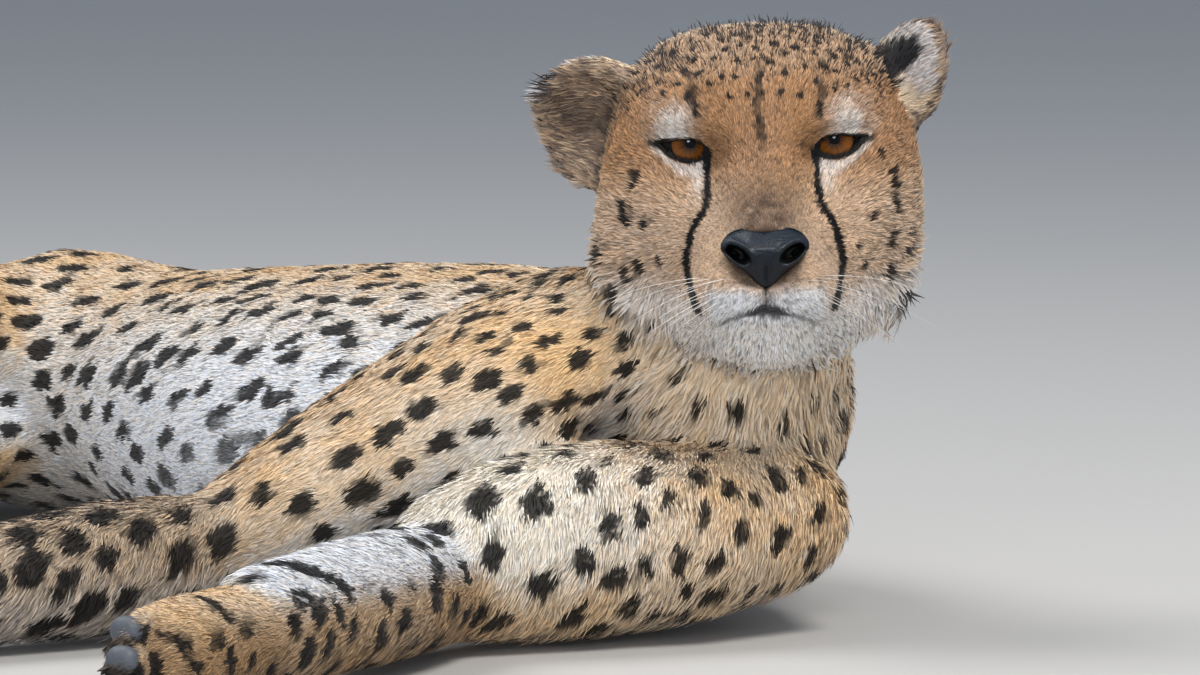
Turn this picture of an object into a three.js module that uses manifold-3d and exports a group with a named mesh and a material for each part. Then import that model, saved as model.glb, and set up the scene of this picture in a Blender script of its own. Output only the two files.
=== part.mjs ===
// A life-size cheetah lying on its left side: the forequarters half raised, the head up and looking along -Y, the legs
// stretched out over the floor in front of the belly. Millimetres, +Z up. Every solid stands for one part of the body
// out to the tips of the coat, and everything that touches the floor is cut flat at one level.
import * as THREE from "three";
import { mergeVertices } from "three/addons/utils/BufferGeometryUtils.js";
import Module from "manifold-3d";

const wasm = await Module();
wasm.setup();

// ---------------------------------------------------------------------------------------------- driving dimensions
const GAP = 0.35; // clearance between two parts that meet
const CAUDAL = new THREE.Vector3(-0.65, 0.76, 0).normalize(); // horizontal, from the shoulders to the rump
const CRANIAL = CAUDAL.clone().negate();
const BELLYWARD = new THREE.Vector3(-CAUDAL.y, CAUDAL.x, 0); // horizontal, from the spine to the belly
const UP = new THREE.Vector3(0, 0, 1);

const BONE = { humerus: 205, forearm: 214, forepaw: 92, femur: 245, shank: 250, hindfoot: 128, toe: 46 };
const TRUNK = {
  chestCentre: new THREE.Vector3(22, 150, 84), // middle of the trunk between the shoulder blades
  breastAhead: 80,
  rumpBehind: 610,
  roll: 72, // degrees that the trunk has rolled from standing towards its left side
};
const HEAD_AT = new THREE.Vector3(77, 0, 237); // midway between the eyes
const HEAD_TURN = { yaw: -0.5, pitch: 1.5, roll: -1.6 }; // degrees
const EYE = { radius: 15.5, apart: 70, back: 9, level: 0 };
const TAIL = { length: 720, root: 31, middle: 22, tip: 15, bend: 118 };

// The colours of the coat and of the bare parts.
const COLOUR = {
  tawny: 0xcfa878,
  face: 0xc89b6c,
  cream: 0xe3d3b8,
  earBack: 0x55483c,
  eye: 0x7a4a1e,
  nose: 0x22252b,
};

// ---------------------------------------------------------------------------------------------- making solids
const rad = THREE.MathUtils.degToRad;
const along = (start, direction, distance) => start.clone().addScaledVector(direction.clone().normalize(), distance);
const mix = (...terms) => {
  const sum = new THREE.Vector3();
  for (const [direction, share] of terms) sum.addScaledVector(direction, share);
  return sum.normalize();
};

function solid(geometry) {
  const bare = new THREE.BufferGeometry().setAttribute("position", geometry.getAttribute("position"));
  bare.setIndex(geometry.index);
  const merged = mergeVertices(bare, 1e-3);
  const mesh = new wasm.Mesh({
    numProp: 3,
    vertProperties: merged.attributes.position.array,
    triVerts: new Uint32Array(merged.index.array),
  });
  return new wasm.Manifold(mesh);
}

function geometryOf(manifold) {
  const mesh = manifold.getMesh();
  const geometry = new THREE.BufferGeometry();
  geometry.setAttribute("position", new THREE.BufferAttribute(mesh.vertProperties, 3));
  geometry.setIndex(new THREE.BufferAttribute(mesh.triVerts, 1));
  return geometry;
}

const largest = (manifold) => manifold.decompose().sort((a, b) => b.volume() - a.volume())[0];
const joined = (solids) => solids.reduce((all, one) => all.add(one));

// A fleshy tube: a capsule bent along a curve. Each station is [point, half width, half depth]. The depth is measured
// along `dorsal`, the width across it, and `caps` are the lengths of the two rounded ends.
function flesh(stations, dorsal, { caps = [20, 20], round = 16, rings = 10, capRings = 4 } = {}) {
  const path = new THREE.CatmullRomCurve3(stations.map(([point]) => point), false, "catmullrom", 0.5);
  const sizes = new THREE.CatmullRomCurve3(
    stations.map(([, wide, deep]) => new THREE.Vector3(wide, deep, 0)), false, "catmullrom", 0.5);
  return (grow = 0) => {
    const geometry = new THREE.CapsuleGeometry(1, 1, capRings, round, rings);
    const position = geometry.getAttribute("position");
    for (let i = 0; i < position.count; i++) {
      const [x, y, z] = [position.getX(i), position.getY(i), position.getZ(i)];
      const u = THREE.MathUtils.clamp(y + 0.5, 0, 1);
      const beyond = y + 0.5 - u;
      const tangent = path.getTangent(u);
      const side = new THREE.Vector3().crossVectors(tangent, dorsal).normalize();
      const top = new THREE.Vector3().crossVectors(side, tangent);
      const size = sizes.getPoint(u);
      const point = path.getPoint(u)
        .addScaledVector(tangent, beyond * (caps[beyond < 0 ? 0 : 1] + grow))
        .addScaledVector(side, -x * (size.x + grow))
        .addScaledVector(top, z * (size.y + grow));
      position.setXYZ(i, point.x, point.y, point.z);
    }
    const made = solid(geometry);
    return made.volume() < 0 ? solid(flipped(geometry)) : made;
  };
}

function flipped(geometry) {
  const index = geometry.index.array;
  for (let i = 0; i < index.length; i += 3) [index[i + 1], index[i + 2]] = [index[i + 2], index[i + 1]];
  return geometry;
}

// A limb segment between two joints, with sizes [wide, deep] at its root, its muscle belly and its far end.
function segment(from, to, dorsal, root, belly, end, options = {}) {
  const { bow = new THREE.Vector3(), bellyAt = 0.35, ...rest } = options;
  const middle = from.clone().lerp(to, bellyAt).add(bow);
  const late = from.clone().lerp(to, (1 + bellyAt) / 2).addScaledVector(bow, 0.5);
  const lateSize = belly.map((size, i) => size * 0.45 + end[i] * 0.55);
  return flesh([[from, ...root], [middle, ...belly], [late, ...lateSize], [to, ...end]], dorsal, rest);
}

const ball = (centre, [rx, ry, rz], round = 12, rings = 8) => (grow = 0) => {
  const geometry = new THREE.SphereGeometry(1, round, rings);
  geometry.scale(rx + grow, ry + grow, rz + grow).translate(centre.x, centre.y, centre.z);
  return solid(geometry);
};

const FLOOR_SLAB = new THREE.BoxGeometry(4000, 4000, 200).translate(0, 0, -100);
const standing = (manifold) => manifold.subtract(solid(FLOOR_SLAB));

// ---------------------------------------------------------------------------------------------- trunk
// The dorsal direction of the rolled trunk points from the belly to the spine.
const roll = rad(TRUNK.roll);
const TRUNK_DORSAL = mix([BELLYWARD, -Math.sin(roll)], [UP, Math.cos(roll)]);
const spine = (behind, height, bellyward = 0) =>
  along(TRUNK.chestCentre, CAUDAL, behind).addScaledVector(BELLYWARD, bellyward).setZ(height);

const trunkStations = [
  [spine(-TRUNK.breastAhead, 90, 0), 48, 64],
  [spine(-40, 86, -2), 71, 100],
  [spine(70, 80, 4), 78, 120],
  [spine(200, 77, 2), 78, 118],
  [spine(320, 74, -10), 74, 96],
  [spine(420, 72, -22), 69, 77],
  [spine(510, 73, -18), 74, 84],
  [spine(TRUNK.rumpBehind, 66, -14), 52, 56],
];
const trunk = flesh(trunkStations, TRUNK_DORSAL, { caps: [34, 34], round: 20, rings: 13, capRings: 3 });

// ---------------------------------------------------------------------------------------------- head
// A point or direction given in the head's own frame: +x to the animal's left, +y to the back of the head, +z up.
const headMatrix = new THREE.Matrix4()
  .makeRotationFromEuler(new THREE.Euler(rad(HEAD_TURN.pitch), rad(HEAD_TURN.roll), rad(HEAD_TURN.yaw), "ZXY"))
  .setPosition(HEAD_AT);
const inHead = (x, y, z) => new THREE.Vector3(x, y, z).applyMatrix4(headMatrix);

// Masses of the head as ellipsoids [x, y, z of the middle, then the three radii], each with how softly it blends.
// A mass with x above 0 stands on both sides. The ruff is pushed out on the right, where the neck bends away.
const headMasses = [
  { at: [0, 50, 8], size: [58, 62, 48], blend: 16 }, // brain case
  { at: [32, 50, 8], size: [37, 48, 40], blend: 20 }, // temple muscle
  { at: [0, 14, 16], size: [42, 34, 32], blend: 18 }, // forehead
  { at: [33, 10, 17], size: [22, 17, 12], blend: 14 }, // brow ridge
  { at: [47, 34, -22], size: [31, 40, 36], blend: 20 }, // cheek muscle
  { at: [44, 46, -58], size: [30, 42, 37], blend: 20 }, // cheek ruff
  { at: [-52, 46, -56], size: [28, 40, 35], blend: 20 }, // right ruff
  { at: [30, 6, -38], size: [24, 27, 26], blend: 18 }, // under the eye
  { at: [0, -2, -6], size: [20, 22, 24], blend: 14 }, // between the eyes
  { at: [0, -24, -25], size: [20, 24, 20], blend: 16 }, // nose bridge
  { at: [0, -45, -42], size: [19, 23, 17], blend: 14 }, // behind the nose leather
  { at: [0, -26, -58], size: [32, 34, 24], blend: 16 }, // muzzle
  { at: [16, -45, -64], size: [20, 21, 17], blend: 12 }, // whisker pad
  { at: [0, -34, -85], size: [21, 22, 16], blend: 14 }, // chin
  { at: [18, 0, -80], size: [25, 38, 21], blend: 18 }, // lower jaw
  { at: [0, 22, -78], size: [40, 36, 26], blend: 20 }, // throat
];

// Signed distance to an ellipsoid, good enough near its surface, and the smooth union of two distances.
function ellipsoidDistance(p, [cx, cy, cz], [rx, ry, rz]) {
  const [x, y, z] = [p.x - cx, p.y - cy, p.z - cz];
  const inner = Math.hypot(x / rx, y / ry, z / rz);
  const slope = Math.hypot(x / rx ** 2, y / ry ** 2, z / rz ** 2);
  return slope < 1e-9 ? -Math.min(rx, ry, rz) : (inner * (inner - 1)) / slope;
}
function softUnion(a, b, softness) {
  const share = Math.max(softness - Math.abs(a - b), 0) / softness;
  return Math.min(a, b) - (share * share * softness) / 4;
}
function headDistance(p) {
  let distance = 1e3;
  for (const { at: [x, y, z], size, blend } of headMasses)
    for (const side of x > 0 ? [-1, 1] : [1])
      distance = softUnion(distance, ellipsoidDistance(p, [side * x, y, z], size), blend);
  return distance;
}

// The head's skin is where the distance is nought. Its flatter places are given fewer facets.
const HEAD_BOX = { min: [-100, -90, -120], max: [100, 130, 80] };
const HEAD_GRID = 16;
const headWhole = (grow = 0) => {
  const distance = ([x, y, z]) => grow - headDistance({ x, y, z });
  const skin = wasm.Manifold.levelSet(distance, HEAD_BOX, HEAD_GRID, 0, 0.05).simplify(0.9);
  return skin.subtract(eyelidOpening(-1)).subtract(eyelidOpening(1)).transform(headMatrix.elements);
};
const eyelidOpening = (side) => solid(new THREE.SphereGeometry(1, 10, 6)
  .scale(16, 20, 8.5)
  .rotateY(rad(side * -12))
  .translate(side * 35.5, -9, -1));

const eyeCentre = (side) => inHead(side * EYE.apart / 2, EYE.back, EYE.level);
const eye = (side) => ball(eyeCentre(side), [EYE.radius, EYE.radius, EYE.radius], 12, 6);
const nose = (grow = 0) => {
  const geometry = new THREE.SphereGeometry(1, 12, 6);
  geometry.scale(20 + grow, 10 + grow, 14 + grow).translate(0, -66, -47);
  return solid(geometry.applyMatrix4(headMatrix));
};

// An ear: a rounded shell, hollowed from the side that it opens to. `turn` swings it about its own upright axis.
const EAR = { height: 37, depth: 17, wall: 4 };
function ear(side, { at, lean, turn, back, width }) {
  const place = (geometry) => solid(geometry
    .translate(0, 0, EAR.height * 0.55)
    .rotateX(rad(back))
    .rotateZ(rad(turn))
    .rotateY(rad(side * lean))
    .translate(side * at[0], at[1], at[2])
    .applyMatrix4(headMatrix));
  return (grow = 0) => {
    const shell = new THREE.SphereGeometry(1, 12, 8)
      .scale(width + grow, EAR.depth + grow, EAR.height + grow);
    const hollow = new THREE.SphereGeometry(1, 11, 7)
      .scale(width - EAR.wall, EAR.depth, EAR.height - EAR.wall)
      .translate(0, -EAR.depth * 0.62, 0);
    return grow ? place(shell) : place(shell).subtract(place(hollow));
  };
}
const earRight = ear(-1, { at: [58, 48, 2], lean: 75, turn: -14, back: -8, width: 35 });
const earLeft = ear(1, { at: [58, 68, 11], lean: 59, turn: 140, back: -40, width: 29 });

// ---------------------------------------------------------------------------------------------- neck
const neck = flesh([
  [inHead(0, 62, -28), 56, 56],
  [inHead(-4, 54, -64), 58, 62],
  [new THREE.Vector3(64, 76, 128), 58, 70],
  [along(TRUNK.chestCentre, CRANIAL, 66).setZ(94), 60, 82],
], mix([UP, 0.5], [BELLYWARD, -1], [CRANIAL, -0.3]), { caps: [20, 50], round: 14, rings: 5, capRings: 2 });

// ---------------------------------------------------------------------------------------------- legs
// Forelegs. The right one lies on the trunk with its elbow behind, the left one comes out from under the breast.
const shoulderRight = new THREE.Vector3(-10, 84, 134);
const elbowRight = new THREE.Vector3(-184, 34, 39);
const wristRight = along(elbowRight, new THREE.Vector3(-0.78, -0.6, -0.12), BONE.forearm).setZ(27);
const knuckleRight = along(wristRight, new THREE.Vector3(-0.7, -0.7, -0.1), BONE.forepaw).setZ(21);
const bladeRight = along(shoulderRight, mix([BELLYWARD, -1], [CAUDAL, 0.35]), 120).setZ(124);

const shoulderLeft = new THREE.Vector3(72, 36, 50);
const elbowLeft = along(shoulderLeft, new THREE.Vector3(-0.85, -0.5, -0.1), BONE.humerus - 30).setZ(34);
const wristLeft = along(elbowLeft, new THREE.Vector3(-0.36, -0.93, 0), BONE.forearm).setZ(37);
const knuckleLeft = along(wristLeft, new THREE.Vector3(-0.5, -0.86, 0), BONE.forepaw - 14).setZ(29);
const bladeLeft = along(shoulderLeft, mix([CAUDAL, 1], [BELLYWARD, -0.6]), 100).setZ(62);

const upperArm = (blade, shoulder, elbow, dorsal, thick) => flesh([
  [blade, 32, 56 * thick],
  [shoulder, 44, 66 * thick],
  [shoulder.clone().lerp(elbow, 0.45), 45, 60 * thick],
  [shoulder.clone().lerp(elbow, 0.8), 38, 50 * thick],
  [elbow, 32, 35],
], dorsal, { caps: [26, 24], round: 14, rings: 8, capRings: 2 });
// The left upper arm is pressed up and out by the weight that lies on its elbow.
const upperArmLeft = flesh([
  [bladeLeft, 32, 48],
  [shoulderLeft.clone().setZ(54), 42, 55],
  [shoulderLeft.clone().lerp(elbowLeft, 0.45).setZ(50), 50, 52],
  [shoulderLeft.clone().lerp(elbowLeft, 0.8).setZ(46), 46, 45],
  [elbowLeft.clone().setZ(38), 37, 37],
], mix([UP, 0.05], [CAUDAL, -1]), { caps: [26, 24], round: 14, rings: 8, capRings: 2 });
const forearm = (elbow, wrist, dorsal, belly = [34, 38], end = [24, 26]) =>
  segment(elbow, wrist, dorsal, [32, 35], belly, end, { caps: [22, 18], round: 12, rings: 7, capRings: 2 });

// A paw: the long middle-foot, four toes spread across it and the pads under them. `across` runs over the toes.
function paw(ankle, knuckle, across, length, sizes) {
  const forward = knuckle.clone().sub(ankle).normalize();
  const under = new THREE.Vector3().crossVectors(across, forward).normalize();
  const foot = segment(ankle, knuckle, under, sizes.ankle, sizes.middle, sizes.knuckle,
    { caps: [14, 16], round: 10, rings: 3, capRings: 2, bellyAt: 0.5 });
  const toes = [-1.5, -0.5, 0.5, 1.5].map((slot) => {
    const ahead = length - Math.abs(slot) * 9;
    const start = knuckle.clone().addScaledVector(across, slot * sizes.spread * 0.85).addScaledVector(forward, -6);
    const knee = start.clone().addScaledVector(forward, ahead * 0.5).addScaledVector(across, slot * 2.5)
      .addScaledVector(under, -4);
    const tip = start.clone().addScaledVector(forward, ahead).addScaledVector(across, slot * 3)
      .addScaledVector(under, 6);
    return flesh([[start, 10, 14], [knee, 11.5, 15.5], [tip, 10.5, 12]], under,
      { caps: [8, 9], round: 6, rings: 2, capRings: 2 });
  });
  return (grow = 0) => joined([foot(grow), ...toes.map((toe) => toe(grow))]).simplify(0.6);
}
const FOREPAW = { ankle: [25, 25], middle: [27, 21], knuckle: [31, 20], spread: 16 };
const HINDPAW = { ankle: [23, 26], middle: [23, 22], knuckle: [30, 20], spread: 15.5 };

// Hind legs, lying one behind the other in front of the belly.
const hipRight = spine(540, 98, 18);
const kneeRight = along(hipRight, mix([BELLYWARD, 1], [CRANIAL, 0.16]), BONE.femur).setZ(92);
const hockRight = along(kneeRight, mix([BELLYWARD, 0.75], [CAUDAL, 0.62]), BONE.shank).setZ(52);
const footRight = along(hockRight, mix([BELLYWARD, 1], [CRANIAL, 0.12]), BONE.hindfoot).setZ(34);

const hipLeft = spine(545, 50, 18);
const kneeLeft = along(hipLeft, mix([BELLYWARD, 1], [CRANIAL, 0.42]), BONE.femur).setZ(40);
const hockLeft = along(kneeLeft, mix([BELLYWARD, 1], [CAUDAL, 0.12]), BONE.shank).setZ(23);
const footLeft = along(hockLeft, mix([BELLYWARD, 0.9], [CRANIAL, 0.5]), BONE.hindfoot).setZ(30);

const thigh = (hip, knee, dorsal) => flesh([
  [hip, 42, 78],
  [hip.clone().lerp(knee, 0.4), 44, 82],
  [hip.clone().lerp(knee, 0.75), 40, 62],
  [knee, 35, 44],
], dorsal, { caps: [46, 26], round: 14, rings: 7, capRings: 2 });
const shank = (knee, hock, dorsal) =>
  segment(knee, hock, dorsal, [34, 40], [31, 40], [19, 25], { caps: [22, 18], round: 12, rings: 6, capRings: 2 });

// ---------------------------------------------------------------------------------------------- tail
// Laid on the floor in one bend, from the rump round behind the hind feet.
const tailRoot = spine(TRUNK.rumpBehind + 6, 62, -18);
const TAIL_STEPS = 9;
const tailPoints = [tailRoot];
for (let i = 1; i <= TAIL_STEPS; i++) {
  const share = i / TAIL_STEPS;
  const heading = CAUDAL.clone().applyAxisAngle(UP, rad(TAIL.bend * Math.min(1, share * 1.1)));
  const radius = TAIL.root + (TAIL.tip - TAIL.root) * share;
  tailPoints.push(along(tailPoints[i - 1], heading, TAIL.length / TAIL_STEPS).setZ(
    THREE.MathUtils.lerp(tailRoot.z, radius - 1, Math.min(1, share * 3))));
}
function tailLength(first, last) {
  const stations = tailPoints.slice(first, last + 1).map((point, i) => {
    const share = (first + i) / TAIL_STEPS;
    const radius = share < 0.5
      ? THREE.MathUtils.lerp(TAIL.root, TAIL.middle, share * 2)
      : THREE.MathUtils.lerp(TAIL.middle, TAIL.tip + 2, share * 2 - 1);
    return [point, radius, radius];
  });
  return flesh(stations, UP, { caps: [16, 18], round: 9, rings: 4, capRings: 2 });
}

// ---------------------------------------------------------------------------------------------- assembly
const legDorsalRight = mix([UP, 0.2], [CAUDAL, -1]);
const legDorsalLeft = mix([UP, 0.05], [CAUDAL, -1]);
const shapes = {
  trunk: [trunk, COLOUR.tawny],
  head: [headWhole, COLOUR.face],
  neck: [neck, COLOUR.tawny],
  ear_right: [earRight, COLOUR.earBack],
  ear_left: [earLeft, COLOUR.earBack],
  eye_right: [eye(-1), COLOUR.eye],
  eye_left: [eye(1), COLOUR.eye],
  nose: [nose, COLOUR.nose],
  foreleg_right_upper: [upperArm(bladeRight, shoulderRight, elbowRight, legDorsalRight, 1.08), COLOUR.tawny],
  foreleg_right_lower: [forearm(elbowRight, wristRight, legDorsalRight), COLOUR.tawny],
  forepaw_right: [paw(wristRight, knuckleRight, mix([CRANIAL, 1], [UP, 0.15]), BONE.toe, FOREPAW), COLOUR.tawny],
  foreleg_left_upper: [upperArmLeft, COLOUR.tawny],
  foreleg_left_lower: [forearm(elbowLeft, wristLeft, legDorsalLeft, [33, 38], [31, 27]), COLOUR.cream],
  forepaw_left: [paw(wristLeft, knuckleLeft, mix([UP, 1], [CRANIAL, -0.25]), BONE.toe, FOREPAW), COLOUR.tawny],
  hindleg_right_thigh: [thigh(hipRight, kneeRight, mix([CRANIAL, 1], [UP, 0.1])), COLOUR.tawny],
  hindleg_right_shank: [shank(kneeRight, hockRight, mix([CRANIAL, 1], [UP, 0.1])), COLOUR.tawny],
  hindpaw_right: [paw(hockRight, footRight, mix([UP, 1], [CRANIAL, 0.3]), BONE.toe, HINDPAW), COLOUR.tawny],
  hindleg_left_thigh: [thigh(hipLeft, kneeLeft, CRANIAL), COLOUR.cream],
  hindleg_left_shank: [shank(kneeLeft, hockLeft, CRANIAL), COLOUR.cream],
  hindpaw_left: [paw(hockLeft, footLeft, mix([UP, 1], [CRANIAL, 0.2]), BONE.toe, HINDPAW), COLOUR.tawny],
  tail_root: [tailLength(0, 3), COLOUR.tawny],
  tail_middle: [tailLength(3, 6), COLOUR.tawny],
  tail_tip: [tailLength(6, 9), COLOUR.cream],
};

// Which parts each part gives way to. The rest of a part is what is left of it outside them, less the gap.
const givesWay = {
  head: ["eye_right", "eye_left", "nose"],
  neck: ["head", "trunk"],
  ear_right: ["head"],
  ear_left: ["head"],
  foreleg_right_upper: ["trunk", "neck", "head"],
  foreleg_right_lower: ["foreleg_right_upper", "trunk"],
  forepaw_right: ["foreleg_right_lower"],
  foreleg_left_upper: ["trunk", "neck", "foreleg_right_upper", "head"],
  foreleg_left_lower: ["foreleg_left_upper", "foreleg_right_upper", "trunk", "foreleg_right_lower"],
  forepaw_left: ["foreleg_left_lower"],
  hindleg_right_thigh: ["trunk"],
  hindleg_right_shank: ["hindleg_right_thigh"],
  hindpaw_right: ["hindleg_right_shank"],
  hindleg_left_thigh: ["trunk", "hindleg_right_thigh", "hindleg_right_shank"],
  hindleg_left_shank: ["hindleg_left_thigh", "hindleg_right_thigh", "hindleg_right_shank"],
  hindpaw_left: ["hindleg_left_shank", "hindleg_right_shank", "hindpaw_right"],
  tail_root: ["trunk", "hindleg_right_thigh", "hindleg_left_thigh"],
  tail_middle: ["tail_root"],
  tail_tip: ["tail_middle"],
};

const whole = Object.fromEntries(Object.entries(shapes).map(([name, [shape]]) => [name, shape().add(shape(GAP))]));
const parts = Object.entries(shapes).map(([name, [shape, colour]]) => {
  const cut = (givesWay[name] ?? []).reduce((rest, other) => rest.subtract(whole[other]), shape());
  return { name, colour, made: largest(standing(cut).simplify(0.04)) };
});

// The frame's origin is on the floor, under the middle of the body's bounding box.
const box = new THREE.Box3();
for (const { made } of parts) {
  const { min, max } = made.boundingBox();
  box.union(new THREE.Box3(new THREE.Vector3(...min), new THREE.Vector3(...max)));
}
const centre = box.getCenter(new THREE.Vector3());

const cheetah = new THREE.Group();
cheetah.name = "cheetah";
cheetah.position.set(-centre.x, -centre.y, -box.min.z);
for (const { name, colour, made } of parts) {
  const smooth = name.startsWith("eye") || name === "nose";
  const material = new THREE.MeshStandardMaterial({ color: colour, roughness: smooth ? 0.25 : 0.9, metalness: 0 });
  const mesh = new THREE.Mesh(geometryOf(made), material);
  mesh.name = name;
  cheetah.add(mesh);
}

export default cheetah;
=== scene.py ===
import math

import bmesh
import bpy
import numpy as np
from mathutils import Matrix, Vector
from mathutils.bvhtree import BVHTree
from mathutils.kdtree import KDTree


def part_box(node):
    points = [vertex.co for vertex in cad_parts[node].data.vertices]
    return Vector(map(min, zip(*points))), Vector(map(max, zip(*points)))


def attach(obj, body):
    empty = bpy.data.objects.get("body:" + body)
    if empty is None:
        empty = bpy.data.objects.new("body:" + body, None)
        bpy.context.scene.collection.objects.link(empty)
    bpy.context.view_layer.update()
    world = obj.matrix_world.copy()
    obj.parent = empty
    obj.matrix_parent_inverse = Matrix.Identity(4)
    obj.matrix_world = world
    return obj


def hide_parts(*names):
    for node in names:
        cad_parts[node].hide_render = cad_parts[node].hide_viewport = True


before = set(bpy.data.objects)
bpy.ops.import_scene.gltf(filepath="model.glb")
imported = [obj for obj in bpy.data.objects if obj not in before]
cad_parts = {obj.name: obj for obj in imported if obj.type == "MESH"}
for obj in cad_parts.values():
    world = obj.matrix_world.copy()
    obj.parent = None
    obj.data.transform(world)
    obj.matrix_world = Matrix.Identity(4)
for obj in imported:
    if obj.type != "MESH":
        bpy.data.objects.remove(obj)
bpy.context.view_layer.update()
random = np.random.default_rng(7)
MM = 0.001


# Bearings. The head's own axes are +x to its left, +y to its back and +z up, with the origin between
# the eyes. The body's bearings are the joints of its legs, in millimetres from the head's stand.
HEAD_YAW, HEAD_PITCH, HEAD_ROLL = math.radians(-0.5), math.radians(1.5), math.radians(-1.6)
EYE_BACK = 9  # millimetres from the head's origin back to the middle of the ball
HEAD_STAND = Vector((77, 0, 237)) * MM  # from the stand, which is on the floor, to the head's origin

middle_of = lambda node: sum((Vector(corner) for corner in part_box(node)), Vector()) / 2
head_turn = Matrix.Rotation(HEAD_YAW, 3, "Z") @ Matrix.Rotation(HEAD_PITCH, 3, "X")
head_turn = head_turn @ Matrix.Rotation(HEAD_ROLL, 3, "Y")
eyes_middle = (middle_of("eye_right") + middle_of("eye_left")) / 2
head_origin = eyes_middle - head_turn @ Vector((0, EYE_BACK * MM, 0))
stand = head_origin - HEAD_STAND

TURN = np.array(head_turn)
ORIGIN = np.array(head_origin)
STAND = np.array(stand)


def in_head(points):
    """Points of the row frame, in metres, as millimetres on the head's own axes."""
    return (np.asarray(points) - ORIGIN) @ TURN / MM


def from_head(points):
    """Millimetres on the head's own axes as points of the row frame, in metres."""
    return np.asarray(points, float) * MM @ TURN.T + ORIGIN


def unit(vectors):
    """The vectors brought to length 1."""
    vectors = np.asarray(vectors, float)
    return vectors / np.maximum(np.linalg.norm(vectors, axis=-1, keepdims=True), 1e-12)


def step(low, high, values):
    """0 below low, 1 above high, and a smooth rise between."""
    share = np.clip((values - low) / (high - low), 0, 1)
    return share * share * (3 - 2 * share)


def bell(*spans):
    """1 in the middle of a bell and less round it, from how far off each value is and how wide it reaches."""
    return np.exp(-sum((off / wide) ** 2 for off, wide in spans))


UP = np.array([0.0, 0.0, 1.0])
CAUDAL = unit([-0.65, 0.76, 0.0])
BELLYWARD = np.array([-CAUDAL[1], CAUDAL[0], 0.0])
ROLL = math.radians(72)
DORSAL = -BELLYWARD * math.sin(ROLL) + UP * math.cos(ROLL)


def place(x, y, z):
    """A point so many millimetres from the stand."""
    return STAND + np.array([x, y, z]) * MM


def reach(start, direction, distance, height):
    """The point that far from start, brought to that height above the floor. All in millimetres."""
    point = start + unit(direction) * distance * MM
    point[2] = height * MM
    return point


def limb(start, *bones):
    """The joints of a limb: its first one, then each bone's heading, its length and the height of its end."""
    joints = [start]
    for heading, length, height in bones:
        joints.append(reach(joints[-1], heading, length, height))
    return np.array(joints)


chest = place(22, 150, 84)
foreleg_right = np.array([place(-10, 84, 134), *limb(
    place(-184, 34, 39), ([-0.78, -0.6, -0.12], 214, 27), ([-0.7, -0.7, -0.1], 92, 21))])
foreleg_left = limb(
    place(72, 36, 50), ([-0.85, -0.5, -0.1], 175, 34),
    ([-0.36, -0.93, 0], 214, 37), ([-0.5, -0.86, 0], 78, 29))
hindleg_right = limb(
    reach(chest + CAUDAL * 0.540 + BELLYWARD * 0.018, UP, 0, 98), (BELLYWARD - 0.16 * CAUDAL, 245, 92),
    (0.75 * BELLYWARD + 0.62 * CAUDAL, 250, 52), (BELLYWARD - 0.12 * CAUDAL, 128, 34))
hindleg_left = limb(
    reach(chest + CAUDAL * 0.545 + BELLYWARD * 0.018, UP, 0, 50), (BELLYWARD - 0.42 * CAUDAL, 245, 40),
    (BELLYWARD + 0.12 * CAUDAL, 250, 23), (0.9 * BELLYWARD - 0.5 * CAUDAL, 128, 30))
TAIL_BONES, TAIL_BEND, TAIL_HEIGHT = 9, math.radians(118), 62  # the height is the tail root's
tail_bones = []
for i in range(1, TAIL_BONES + 1):
    heading = Matrix.Rotation(TAIL_BEND * min(1, i / TAIL_BONES * 1.1), 3, "Z") @ Vector(CAUDAL)
    height = TAIL_HEIGHT + (30 - 16 * i / TAIL_BONES - TAIL_HEIGHT) * min(1, i / 3)
    tail_bones.append((np.array(heading), 80, height))
tail = limb(reach(chest + CAUDAL * 0.616 - BELLYWARD * 0.018, UP, 0, TAIL_HEIGHT), *tail_bones)


# The skin. One closed hide over head, neck, trunk, legs and tail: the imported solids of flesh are
# welded into one body, smoothed over where they met, and drawn in by the depth of the coat.
flesh_nodes = [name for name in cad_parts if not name.startswith("eye_") and name != "nose"]
PART = {node: number for number, node in enumerate(flesh_nodes)}
WELD, EAR_WELD = 1.2, 0.4  # each solid is swollen by so many millimetres, to close the gaps between them
VOXEL = 2.2 * MM


def piece_from(shell, name):
    """A new object holding what the bmesh holds."""
    mesh = bpy.data.meshes.new(name)
    shell.to_mesh(mesh)
    shell.free()
    piece = bpy.data.objects.new(name, mesh)
    bpy.context.scene.collection.objects.link(piece)
    return piece


def apply_modifiers(piece):
    """Makes the piece's modifiers part of its mesh."""
    shaped = piece.evaluated_get(bpy.context.evaluated_depsgraph_get())
    mesh = bpy.data.meshes.new_from_object(shaped)
    piece.modifiers.clear()
    piece.data = mesh
    mesh.name = piece.name


def numbers_of(items, what, columns, kind=float):
    """One attribute of all the items of a mesh, a row of numbers for each."""
    held = np.empty(len(items) * columns, kind)
    items.foreach_get(what, held)
    return held.reshape(-1, columns)


def corners_of(mesh):
    """The places of the mesh's corners, a row for each."""
    return numbers_of(mesh.vertices, "co", 3)


def set_corners(mesh, corners):
    """Moves the mesh's corners to those places."""
    mesh.vertices.foreach_set("co", corners.ravel())
    mesh.update()


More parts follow.
